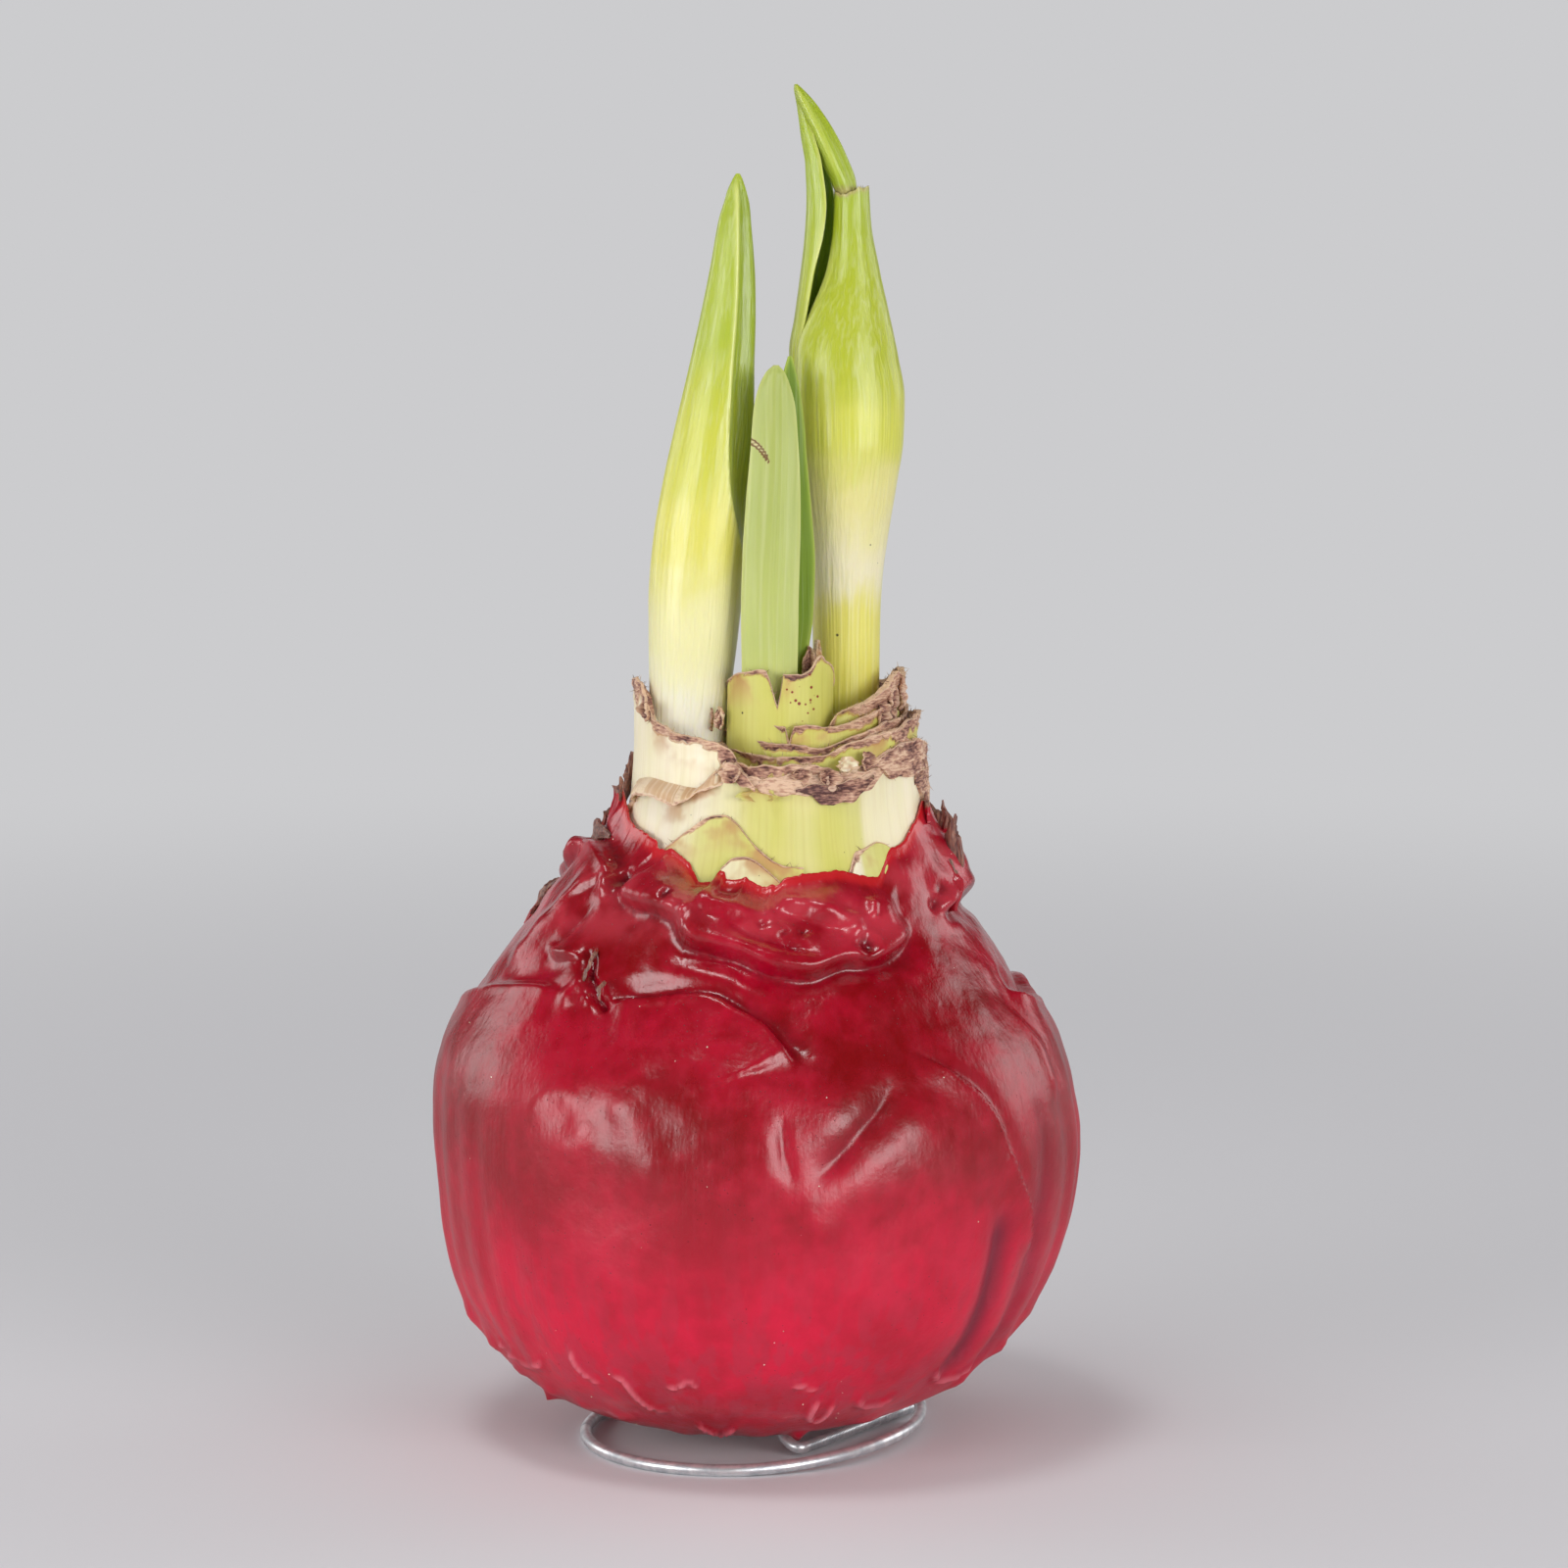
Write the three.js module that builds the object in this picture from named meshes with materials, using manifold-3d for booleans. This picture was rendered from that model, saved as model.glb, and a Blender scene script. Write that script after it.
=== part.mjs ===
// A waxed amaryllis bulb on its wire stand: a wax-dipped bulb with a cut neck, two flower
// shoots and a pair of young leaves. Millimetres, +Z up, the front towards -Y. The origin is
// on the surface that the stand rests on, under the middle of the bulb.
import * as THREE from "three";
import { mergeVertices } from "three/addons/utils/BufferGeometryUtils.js";
import Module from "manifold-3d";

// ---------------------------------------------------------------- driving dimensions
const BULB_DIAMETER = 92; // over the wax, at the widest
const WAX_THICKNESS = 2.2;
const RIM_THICKNESS = 0.9; // of the wax at its torn rim
const CLEARANCE = 0.35; // between pieces that touch
const WIRE_DIAMETER = 1.7;
const RING_SIZE = [55.7, 47.7]; // the oval wire ring's length and width, over the wire
const RING_MIDDLE = [-0.4, -1.5];
const RING_TURN = -118; // degrees from +X to the oval's long way
const BASE_HEIGHT = 2.7; // of the bulb's lowest point over the surface

const WAX_SEGMENTS = 72;
const WAX_ROWS = 30;
const INNER_ROWS = 14;
const BULB_SEGMENTS = 40;
const BULB_GAP = 0.9; // to the wax, whose inside has flat facets

// Outline of the waxed bulb from the middle of its base to its rim: [radius, height].
const OUTLINE = [
  [0, BASE_HEIGHT],
  [10, 2.75],
  [17, 3.3],
  [24.5, 5.4],
  [31, 8.8],
  [37.2, 14.2],
  [41, 20],
  [43.5, 26],
  [45.2, 34],
  [BULB_DIAMETER / 2, 44],
  [45.4, 51],
  [43.6, 57],
  [40.4, 62],
  [36.2, 68],
  [31.8, 74],
  [28.4, 79],
  [25.2, 84],
  [23.4, 88],
  [22.6, 92],
  [22.4, 98],
];

// Sideways lean of the bulb's axis: [height, shift towards +X].
const LEAN = [
  [0, -2],
  [14, -1.4],
  [40, 0],
  [60, -1],
  [76, -0.4],
  [86, 1.8],
  [98, 2.8],
];

// Height of the torn rim of the wax: [degrees round from the front, height].
const RIM = [
  [-180, 88],
  [-150, 90.5],
  [-120, 88.5],
  [-96, 89.5],
  [-82, 88],
  [-66, 92],
  [-52, 90],
  [-36, 88.6],
  [-28, 86.6],
  [-17.5, 84.2],
  [-13, 85.2],
  [-5, 84.2],
  [10, 84.7],
  [22, 84.3],
  [35, 83.7],
  [41, 86.9],
  [50, 89.3],
  [63, 92],
  [76, 89.2],
  [96, 88],
  [124, 90.5],
  [152, 87],
  [180, 88],
];

// Lower edge of the collar, where an upper layer of dry skin folds over the shoulder.
const COLLAR_EDGE = [
  [-180, 80],
  [-140, 78.5],
  [-105, 80],
  [-75, 82],
  [-58, 80.5],
  [-32, 78.6],
  [-18, 76.4],
  [0, 73.8],
  [20, 71.8],
  [32, 73.6],
  [46, 75.4],
  [66, 76.6],
  [92, 79],
  [130, 77.5],
  [180, 80],
];
const COLLAR_LIFT = 1.3;

// Upper edge of the lower layer of skin, which stands proud of the shoulder: [degrees, height].
const LEDGE_EDGE = [
  [-180, 62],
  [-140, 65],
  [-93, 63],
  [-58, 68],
  [-34, 66.6],
  [-18, 68.6],
  [0, 66],
  [10, 61],
  [26, 57.5],
  [60, 60],
  [110, 64],
  [150, 60],
  [180, 62],
];
const LEDGE_LIFT = 0.9;

// Creases pressed into the front: [[degrees, height] from and to, depth, half-width].
const CREASES = [
  [[5.5, 51], [7.5, 43.6], 1.3, 2.2],
  [[27, 57.5], [7.5, 43.6], 1.3, 2.6],
];

// Shallow flutes that run down the flanks: [degrees, depth].
const FLUTES = [
  [56, 0.7],
  [68, 0.8],
  [82, 0.6],
  [98, 0.7],
  [-64, 0.4],
  [-78, 0.7],
  [-92, 0.6],
  [-108, 0.7],
  [128, 0.6],
  [150, 0.7],
  [-136, 0.6],
  [-164, 0.5],
];
const FLUTE_HALF_WIDTH = 3.6;
const FLUTE_SPAN = [8, 22, 46, 62]; // heights between which they fade in and out again

// Lumps and hollows of the skin: [degrees, height, lift, half-width].
const LUMPS = [
  [-20, 52, 0.5, 7],
  [-27, 45, -0.7, 5],
  [17, 51, 0.8, 6],
  [36, 46, 0.7, 9],
  [-72, 84, 1.6, 6],
  [86, 83, 2.2, 6],
  [-48, 70, 1.2, 5],
  [-58, 75, 1, 4],
  [140, 48, -0.8, 8],
  [-140, 40, 0.9, 9],
];

// ---------------------------------------------------------------- small maths
const rad = THREE.MathUtils.degToRad;
const clamp = THREE.MathUtils.clamp;
const smooth = (x, low, high) => THREE.MathUtils.smoothstep(x, low, high);
const hump = (distance, halfWidth) => Math.exp(-((distance / halfWidth) ** 2));

/** A smooth curve through [x, y] points that never swings past them (monotone cubic). */
function through(points) {
  const steps = points.slice(1).map((p, i) => p[0] - points[i][0]);
  const slopes = points.slice(1).map((p, i) => (p[1] - points[i][1]) / steps[i]);
  const tangents = points.map((_, i) => {
    if (i === 0) return slopes[0];
    if (i === points.length - 1) return slopes[i - 1];
    const [before, after] = [slopes[i - 1], slopes[i]];
    if (before * after <= 0) return 0;
    const [a, b] = [steps[i - 1] + 2 * steps[i], 2 * steps[i - 1] + steps[i]];
    return (a + b) / (a / after + b / before);
  });
  return (x) => {
    const at = clamp(x, points[0][0], points[points.length - 1][0]);
    let i = 0;
    while (i < slopes.length - 1 && at > points[i + 1][0]) i++;
    const t = (at - points[i][0]) / steps[i];
    const [t2, t3] = [t * t, t * t * t];
    return (
      (2 * t3 - 3 * t2 + 1) * points[i][1] +
      (t3 - 2 * t2 + t) * steps[i] * tangents[i] +
      (3 * t2 - 2 * t3) * points[i + 1][1] +
      (t3 - t2) * steps[i] * tangents[i + 1]
    );
  };
}

/** Distance in a plane from a point to the stretch between two others. */
function distanceTo([x, y], [ax, ay], [bx, by]) {
  const [dx, dy] = [bx - ax, by - ay];
  const t = clamp(((x - ax) * dx + (y - ay) * dy) / (dx * dx + dy * dy), 0, 1);
  return Math.hypot(x - ax - t * dx, y - ay - t * dy);
}

// ---------------------------------------------------------------- solids from rings
/** A closed body through rings of equally many points, each end closed by a fan. */
function loft(rings) {
  const count = rings[0].length;
  const middle = (ring) =>
    ring.reduce((sum, p) => sum.add(p), new THREE.Vector3()).divideScalar(count);
  const points = [...rings.flat(), middle(rings[0]), middle(rings[rings.length - 1])];
  const [first, last] = [points.length - 2, points.length - 1];
  const top = (rings.length - 1) * count;
  const faces = [];
  for (let k = 0; k < count; k++) {
    const next = (k + 1) % count;
    for (let j = 0; j < rings.length - 1; j++) {
      const [a, b] = [j * count + k, j * count + next];
      faces.push(a, b, b + count, a, b + count, a + count);
    }
    faces.push(first, next, k, last, top + k, top + next);
  }
  const geometry = new THREE.BufferGeometry().setFromPoints(points);
  geometry.setIndex(faces);
  return geometry;
}

const wasm = await Module();
wasm.setup();

/** A closed geometry as a manifold-3d solid, whichever way round its faces run. */
function solidOf(geometry) {
  const bare = mergeVertices(
    new THREE.BufferGeometry()
      .setAttribute("position", geometry.getAttribute("position"))
      .setIndex(geometry.getIndex()),
    1e-4,
  );
  const vertProperties = bare.getAttribute("position").array;
  const triVerts = new Uint32Array(bare.getIndex().array);
  const made = new wasm.Manifold(new wasm.Mesh({ numProp: 3, vertProperties, triVerts }));
  if (made.volume() > 0) return made;
  const turned = triVerts.map((_, i) => triVerts[i - (i % 3) + (2 - (i % 3))]);
  return new wasm.Manifold(new wasm.Mesh({ numProp: 3, vertProperties, triVerts: turned }));
}

/** A manifold-3d solid's largest body as a three.js geometry. */
function geometryOf(solid) {
  const body = solid.decompose().sort((a, b) => b.volume() - a.volume())[0];
  const { vertProperties, triVerts } = body.getMesh();
  const geometry = new THREE.BufferGeometry();
  geometry.setAttribute("position", new THREE.BufferAttribute(vertProperties, 3));
  geometry.setIndex(new THREE.BufferAttribute(triVerts, 1));
  geometry.computeVertexNormals();
  return geometry;
}

/** Several closed geometries joined in one. */
function joined(geometries) {
  return geometryOf(geometries.map(solidOf).reduce((whole, piece) => whole.add(piece)));
}

// ---------------------------------------------------------------- the bulb's skin
const reach = [0];
OUTLINE.slice(1).forEach(([r, z], i) =>
  reach.push(reach[i] + Math.hypot(r - OUTLINE[i][0], z - OUTLINE[i][1])),
);
const outlineRadius = through(OUTLINE.map(([r], i) => [reach[i], r]));
const outlineHeight = through(OUTLINE.map(([, z], i) => [reach[i], z]));
const reachAtHeight = through(OUTLINE.map(([, z], i) => [z, reach[i]]));
const lean = through(LEAN);
const rimHeight = through(RIM);
const collarEdge = through(COLLAR_EDGE);
const ledgeEdge = through(LEDGE_EDGE);

/** How far the skin stands out of the plain outline, at degrees round and a height. */
function relief(degrees, height) {
  const flat = (deg) => rad(deg) * (BULB_DIAMETER / 2);
  let lift = 0;
  const overCollar = height - collarEdge(degrees);
  lift += COLLAR_LIFT * smooth(overCollar, -0.8, 0.8) * (1 - smooth(overCollar, 2, 9));
  const underLedge = ledgeEdge(degrees) - height;
  lift += LEDGE_LIFT * smooth(underLedge, -0.8, 0.8) * (1 - smooth(underLedge, 2, 14));
  for (const [from, to, depth, halfWidth] of CREASES) {
    const away = distanceTo(
      [flat(degrees), height],
      [flat(from[0]), from[1]],
      [flat(to[0]), to[1]],
    );
    lift -= depth * hump(away, halfWidth);
  }
  const [start, full, fade, end] = FLUTE_SPAN;
  const along = smooth(height, start, full) * (1 - smooth(height, fade, end));
  for (const [deg, depth] of FLUTES)
    lift -= depth * along * hump(flat(degrees - deg), FLUTE_HALF_WIDTH);
  for (const [deg, z, high, halfWidth] of LUMPS) {
    const away = Math.hypot(flat(degrees - deg), height - z);
    lift += high * hump(away, halfWidth);
  }
  return lift;
}

/** A point of the skin: degrees round, run along the outline, and depth under its surface. */
function skinPoint(degrees, run, depth, raised) {
  const [r, z] = [outlineRadius(run), outlineHeight(run)];
  const step = 0.5;
  const dr = outlineRadius(run + step) - outlineRadius(run - step);
  const dz = outlineHeight(run + step) - outlineHeight(run - step);
  const slope = Math.hypot(dr, dz);
  const out = (raised ? relief(degrees, z) : 0) - depth;
  const radius = Math.max(r + (out * dz) / slope, 0);
  const height = z - (out * dr) / slope;
  return new THREE.Vector3(
    lean(height) + radius * Math.sin(rad(degrees)),
    -radius * Math.cos(rad(degrees)),
    height,
  );
}

/** Spreads evenly numbered rows so that they lie closer together towards the rim. */
const closer = (t) => 1 - (1 - t) ** 1.35;

/** Thickness of the wax at a share of the way up: it thins out towards the rim. */
const waxThickness = (share) =>
  WAX_THICKNESS + (RIM_THICKNESS - WAX_THICKNESS) * smooth(share, 0.75, 1);

/** A ring of the skin; share runs from 0 at the base to 1 at the top that topOf gives. */
function skinRing(share, depth, raised, segments, topOf) {
  return Array.from({ length: segments }, (_, k) => {
    const degrees = (k * 360) / segments - 180;
    return skinPoint(degrees, share * reachAtHeight(topOf(degrees)), depth, raised);
  });
}

// ---------------------------------------------------------------- the wax
/** Torn points of dry skin that stick out of the wax: [degrees, height, length, half-width]. */
const TORN_TIPS = [
  [-82, 91, 4.6, 3],
  [-72, 84.5, 3.4, 3],
  [-66, 77, 3.2, 3.4],
  [84, 84, 5, 3.2],
  [150, 84, 4.4, 4],
  [-130, 86, 4, 3.6],
];

/** One torn point: a curled blade rooted in the wax, leaning out and up. */
function tornTip([degrees, height, length, halfWidth]) {
  const run = reachAtHeight(height);
  const root = skinPoint(degrees, run, 0.7, true);
  const outward = new THREE.Vector3(Math.sin(rad(degrees)), -Math.cos(rad(degrees)), 0);
  const sideways = new THREE.Vector3(-outward.y, outward.x, 0);
  const rings = [-0.4, 0, 0.5, 0.85, 1].map((t) => {
    const above = Math.max(t, 0);
    const width = halfWidth * Math.sqrt(Math.max(1 - above, 0.02));
    const thick = 0.5 - 0.2 * above;
    const middle = root
      .clone()
      .addScaledVector(outward, length * (0.42 * above - 0.1 * above * above))
      .add(new THREE.Vector3(0, 0, length * t));
    return [
      [-1, 0],
      [0, -1],
      [1, 0],
      [0, 1],
    ].map(([side, out]) =>
      middle
        .clone()
        .addScaledVector(sideways, side * width)
        .addScaledVector(outward, out * thick),
    );
  });
  return solidOf(loft(rings));
}

/** The wax: a cup with a torn rim that follows every fold of the skin. */
function waxCoat() {
  const rings = [];
  for (let j = 1; j <= WAX_ROWS; j++)
    rings.push(skinRing(closer(j / WAX_ROWS), 0, true, WAX_SEGMENTS, rimHeight));
  for (let j = INNER_ROWS; j >= 1; j--) {
    const share = j / INNER_ROWS;
    rings.push(skinRing(share, waxThickness(share), false, WAX_SEGMENTS, rimHeight));
  }
  return TORN_TIPS.reduce((wax, tip) => wax.add(tornTip(tip)), solidOf(loft(rings)));
}

// ---------------------------------------------------------------- the bulb and its neck
const CORE_TOP = 96;
const CORE_DEPTH = 15.5;
const NECK_TOP = 116;
const NECK_CLEAR = 24; // radius that the neck stays within above the rim

// The outer scales spread towards their foot, down to the wax: [height, sideways], [height, in depth].
const SPREAD_SIDEWAYS = [[80, 4.6], [84, 2.6], [88, 1.2], [93, 0.4], [99, 0]];
const SPREAD_IN_DEPTH = [[80, 6.8], [84, 4.8], [88, 3], [93, 1.2], [99, 0]];

// Cut scales of the neck, outermost first. Each is a wall on an oval, from one bearing to
// another (degrees from the front), with the height of its torn upper edge along it.
const NECK_SCALES = [
  {
    middle: [2.7, 0.5],
    half: [20, 17.6],
    wall: 1.5,
    foot: 80,
    spreads: true,
    edge: [[-168, 98], [-130, 103], [-95, 107.5], [-66, 108], [-61, 103], [-44, 102], [-19, 100.2], [-14, 94]],
  },
  {
    middle: [2.9, 0.5],
    half: [21.2, 18.6],
    wall: 1.3,
    foot: 78,
    spreads: true,
    edge: [[-46, 85.6], [-32, 89.5], [-22, 91.2], [-10, 88.3], [-4, 86.2], [4, 84.9], [14, 84.6]],
  },
  {
    middle: [2.9, 0.5],
    half: [20.6, 17.9],
    wall: 1.5,
    foot: 80,
    spreads: true,
    edge: [[-20, 93.2], [-12, 94.4], [0, 94.4], [30, 93.8], [44, 95], [70, 95.6], [100, 97], [140, 99], [172, 97]],
  },
  {
    middle: [8.2, 0.4],
    half: [14.6, 16.8],
    wall: 1.3,
    foot: 88,
    edge: [[-96, 101], [-57, 98.7], [-10, 98.3], [2, 98.4], [36, 101], [62, 102.2], [130, 101], [170, 99]],
  },
  {
    middle: [8.2, 0.2],
    half: [13, 14.9],
    wall: 1.2,
    foot: 90,
    edge: [[-100, 102], [-50, 100.3], [-10, 99.7], [5, 99.4], [39, 101.6], [90, 104.5], [130, 103], [170, 101]],
  },
  {
    middle: [7.8, 0],
    half: [11.8, 13.5],
    wall: 1.2,
    foot: 92,
    edge: [[-105, 105], [-50, 103.5], [-34, 102.7], [14, 102.7], [50, 104.6], [92, 107.5], [130, 105], [170, 103]],
  },
  {
    middle: [3.4, -6.2],
    half: [7.4, 6.2],
    wall: 1.1,
    foot: 92,
    edge: [[-100, 107], [-60, 109.6], [-16, 110.6], [-6, 107], [-2, 106.8], [2, 110.2], [34, 110.8], [62, 111.6], [100, 108.5]],
  },
];
const SCALE_STEP = 9; // degrees between the wall's sections

/** One cut scale: its wall follows an oval, from its foot to its torn edge. */
function neckScale({ middle, half, wall, foot, spreads, edge }) {
  const edgeHeight = through(edge);
  const [sideways, inDepth] = [through(SPREAD_SIDEWAYS), through(SPREAD_IN_DEPTH)];
  const [from, to] = [edge[0][0], edge[edge.length - 1][0]];
  const count = Math.round((to - from) / SCALE_STEP);
  const rings = [];
  for (let k = 0; k <= count; k++) {
    const degrees = from + ((to - from) * k) / count;
    const [side, ahead] = [Math.sin(rad(degrees)), -Math.cos(rad(degrees))];
    const top = edgeHeight(degrees);
    const at = (inset, z) =>
      new THREE.Vector3(
        middle[0] + (half[0] + (spreads ? sideways(z) : 0) - inset) * side,
        middle[1] + (half[1] + (spreads ? inDepth(z) : 0) - inset) * ahead,
        z,
      );
    const between = spreads ? [0.35, 0.7].map((t) => foot + (top - foot) * t) : [];
    rings.push([
      at(0, foot),
      ...between.map((z) => at(0, z)),
      at(0, top - 0.5),
      at(wall * 0.3, top),
      at(wall * 0.8, top),
      at(wall, top - 0.6),
      ...between.reverse().map((z) => at(wall, z)),
      at(wall, foot),
    ]);
  }
  return solidOf(loft(rings));
}

/** The space for the bulb: inside the wax, and free above its rim. */
function insideWax() {
  const rings = [];
  for (let j = 1; j <= 16; j++) {
    const depth = waxThickness(j / 16) + BULB_GAP;
    rings.push(skinRing(j / 16, depth, false, BULB_SEGMENTS, rimHeight));
  }
  const rim = rings[rings.length - 1];
  const clear = (p, z) => {
    const out = new THREE.Vector3(p.x - lean(p.z), p.y, 0).setLength(NECK_CLEAR);
    return new THREE.Vector3(lean(p.z) + out.x, out.y, z);
  };
  rings.push(rim.map((p) => clear(p, p.z + 2.4)));
  rings.push(rim.map((p) => clear(p, NECK_TOP)));
  return solidOf(loft(rings));
}

/** The bulb: a plump body that fills the wax, and the neck of cut scales above it. */
function bulbBody() {
  const block = new THREE.CylinderGeometry(17.5, 60, CORE_TOP, BULB_SEGMENTS);
  block.rotateX(Math.PI / 2);
  block.scale(1, CORE_DEPTH / 17.5, 1);
  block.translate(2.8, 0.5, CORE_TOP / 2);
  return NECK_SCALES.reduce((bulb, scale) => bulb.add(neckScale(scale)), solidOf(block));
}

// ---------------------------------------------------------------- shoots and leaves
/** A stem or bud: rings round the stations [height, x, y, half-width, half-depth]. */
function shoot(stations, sides, grow = 0, groove = () => 0) {
  return loft(
    stations.map(([z, x, y, halfWidth, halfDepth], i) =>
      Array.from({ length: sides }, (_, k) => {
        const degrees = (k * 360) / sides - 180;
        const [side, ahead] = [Math.sin(rad(degrees)), -Math.cos(rad(degrees))];
        const scale = 1 - groove(degrees, z);
        const sunk = i === 0 ? grow : 0;
        return new THREE.Vector3(
          x + (halfWidth * scale + grow) * side,
          y + (halfDepth * scale + grow) * ahead,
          z - sunk,
        );
      }),
    ),
  );
}

// Left flower shoot: a cream stem that swells into a long pointed bud.
const LEFT_SHOOT = [
  [91, -9.4, -2.4, 4.9, 4.6],
  [100, -9.6, -2.7, 5.3, 5],
  [108, -9.2, -3, 5.8, 5.4],
  [115, -8.8, -3.2, 6.3, 5.8],
  [122, -8.4, -3.3, 6.6, 5.9],
  [129, -7.8, -3.4, 6.5, 5.6],
  [137, -6.8, -3.4, 6.2, 5.1],
  [145, -5.7, -3.4, 5.4, 4.5],
  [152, -4.8, -3.3, 4.8, 3.9],
  [160, -3.8, -3.1, 3.8, 3.2],
  [167, -3.2, -3, 3, 2.6],
  [172.5, -2.9, -2.9, 2.5, 2],
  [176, -2.6, -2.8, 1.7, 1.3],
  [178.4, -2.5, -2.8, 0.7, 0.6],
  [179.2, -2.5, -2.8, 0.15, 0.15],
];
// The bud's two bracts meet in a furrow on its right side: bearing and half-width in degrees.
const FURROW = { bearing: 52, spread: 20, depth: 0.34 };

/** Depth of the left bud's furrow, as a share of its radius. */
function leftFurrow(degrees, z) {
  const along = smooth(z, 124, 140) * (1 - smooth(z, 172, 178));
  return FURROW.depth * along * hump(degrees - FURROW.bearing, FURROW.spread);
}

// Right flower shoot: a yellow stem, a fat bud and the snapped end of its front bract.
const RIGHT_SHOOT = [
  [91, 12.4, 1.2, 4.4, 4.4],
  [100, 12.7, 1, 4.6, 4.5],
  [110, 12.8, 0.8, 4.7, 4.5],
  [118, 12.8, 0.6, 4.8, 4.6],
  [122, 12.9, 0.5, 5.2, 5],
  [128, 13, 0.4, 5.8, 5.6],
  [135, 13.1, 0.3, 6.7, 6.2],
  [142, 13.3, 0.2, 7.4, 6.6],
  [148, 13.4, 0.1, 7.5, 6.5],
  [154, 13.5, 0, 6.8, 5.9],
  [160, 13.5, 0, 5.5, 4.9],
  [166, 13.5, -0.1, 4.1, 3.9],
  [172, 13.4, -0.2, 3, 3],
  [177, 13.2, -0.2, 2.3, 2.2],
];

// The snapped end leans left over the bud: [height, x, y, half-width, half-depth].
const SNAPPED_END = [
  [176.2, 12.4, -0.3, 1.3, 1.2],
  [178, 12.1, -0.3, 1.75, 1.5],
  [181, 11.2, -0.3, 1.95, 1.6],
  [185, 9.4, -0.2, 1.7, 1.3],
  [188.4, 7.4, 0, 1.1, 0.9],
  [190.6, 6.1, 0.2, 0.55, 0.5],
  [191.6, 5.6, 0.3, 0.12, 0.12],
];

/** A leaf or bract: a thin curved blade through stations [height, x, y, half-width, sag]. */
function blade(stations, { turn, thickness, grow = 0 }) {
  const steps = 6;
  const [across, normal] = [
    new THREE.Vector3(Math.cos(rad(turn)), Math.sin(rad(turn)), 0),
    new THREE.Vector3(Math.sin(rad(turn)), -Math.cos(rad(turn)), 0),
  ];
  return loft(
    stations.map(([z, x, y, halfWidth, sag], i) => {
      const sunk = i === 0 ? grow : 0;
      const at = (share, side) => {
        const thin = thickness * (1 - 0.55 * share * share) * Math.min(1, halfWidth / 1.2);
        return new THREE.Vector3(x, y, z - sunk)
          .addScaledVector(across, share * (halfWidth + grow))
          .addScaledVector(normal, -sag * share * share + side * (thin / 2 + grow));
      };
      const shares = Array.from({ length: steps + 1 }, (_, k) => (2 * k) / steps - 1);
      return [
        ...shares.map((share) => at(share, 1)),
        ...shares.reverse().map((share) => at(share, -1)),
      ];
    }),
  );
}

// Front leaf: a flat strap with a blunt tip.
const FRONT_LEAF = [
  [96, 2.2, -9.2, 3.8, 0.8],
  [104, 2, -9.6, 3.9, 0.8],
  [110, 1.9, -9.9, 3.9, 0.7],
  [118, 1.9, -10.2, 4, 0.6],
  [126, 2.1, -10.3, 4, 0.6],
  [134, 2.4, -10.2, 3.8, 0.5],
  [142, 2.6, -10, 3.3, 0.4],
  [147, 2.6, -9.8, 2.9, 0.4],
  [150, 2.6, -9.7, 2.2, 0.3],
  [152, 2.7, -9.6, 1.3, 0.2],
  [153, 2.8, -9.6, 0.35, 0.1],
];
const FRONT_BLADE = { turn: 0, thickness: 1.5 };

// Back leaf: narrower, channelled, and seen half from its side.
const BACK_LEAF = [
  [96, 5.2, -4.3, 3.2, -1.1],
  [104, 5.4, -4.4, 3.4, -1.1],
  [110, 5.5, -4.5, 3.5, -1.1],
  [118, 5.8, -4.6, 3.6, -1.1],
  [126, 5.5, -5.2, 3.4, -0.9],
  [134, 5, -5.6, 3, -0.7],
  [142, 4.6, -5.6, 2.5, -0.6],
  [148, 4.6, -5.6, 1.8, -0.5],
  [152, 4.6, -5.6, 0.9, -0.3],
  [154, 4.7, -5.6, 0.3, -0.1],
];
const BACK_BLADE = { turn: 28, thickness: 1.3 };

// Rear bract of the right bud: it parts from the bud's left side and runs up to the tip.
const REAR_BRACT = [
  [140, 9.4, 2.2, 2.2, 0.8],
  [147, 7.4, 4.3, 2.7, 1.1],
  [154, 7, 4.9, 3, 1.3],
  [161, 7.7, 4.6, 3.1, 1.4],
  [168, 8.6, 3.9, 2.9, 1.3],
  [175, 9, 3.1, 2.5, 1.1],
  [181, 8.4, 2.2, 1.9, 0.8],
  [186, 7.3, 1.4, 1.2, 0.4],
  [189.4, 6.3, 0.8, 0.6, 0.1],
  [191.2, 5.6, 0.5, 0.2, 0],
];
const REAR_BLADE = { turn: -14, thickness: 1.3 };

// ---------------------------------------------------------------- the wire stand
const WIRE_RADIUS = WIRE_DIAMETER / 2;
const WIRE_SIDES = 8;
const WIRE_REST = WIRE_RADIUS * Math.cos(Math.PI / WIRE_SIDES); // its flat side lies at 0
// The section rolls this far on its way down from the loose end, in degrees; it starts turned
// back by as much, so that its flat side meets the surface.
const SECTION_ROLL = 3.88;
const RING_ENDS = [14, -320]; // degrees from +X: the loose end, and where it leaves for the bulb
// The ring's loose end rises off the surface: [degrees from +X, rise].
const RING_RISE = [[-320, 0], [-100, 0], [-60, 0.7], [-35, 1.15], [0, 1.4], [14, 1.9]];
const CROSSBAR = [
  [23, 8.4, 1.3],
  [6.6, -16.6, 1.35],
];
const PRONG_AT = [3.4, -13.6];
const PRONG_TOP = 15;

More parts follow.
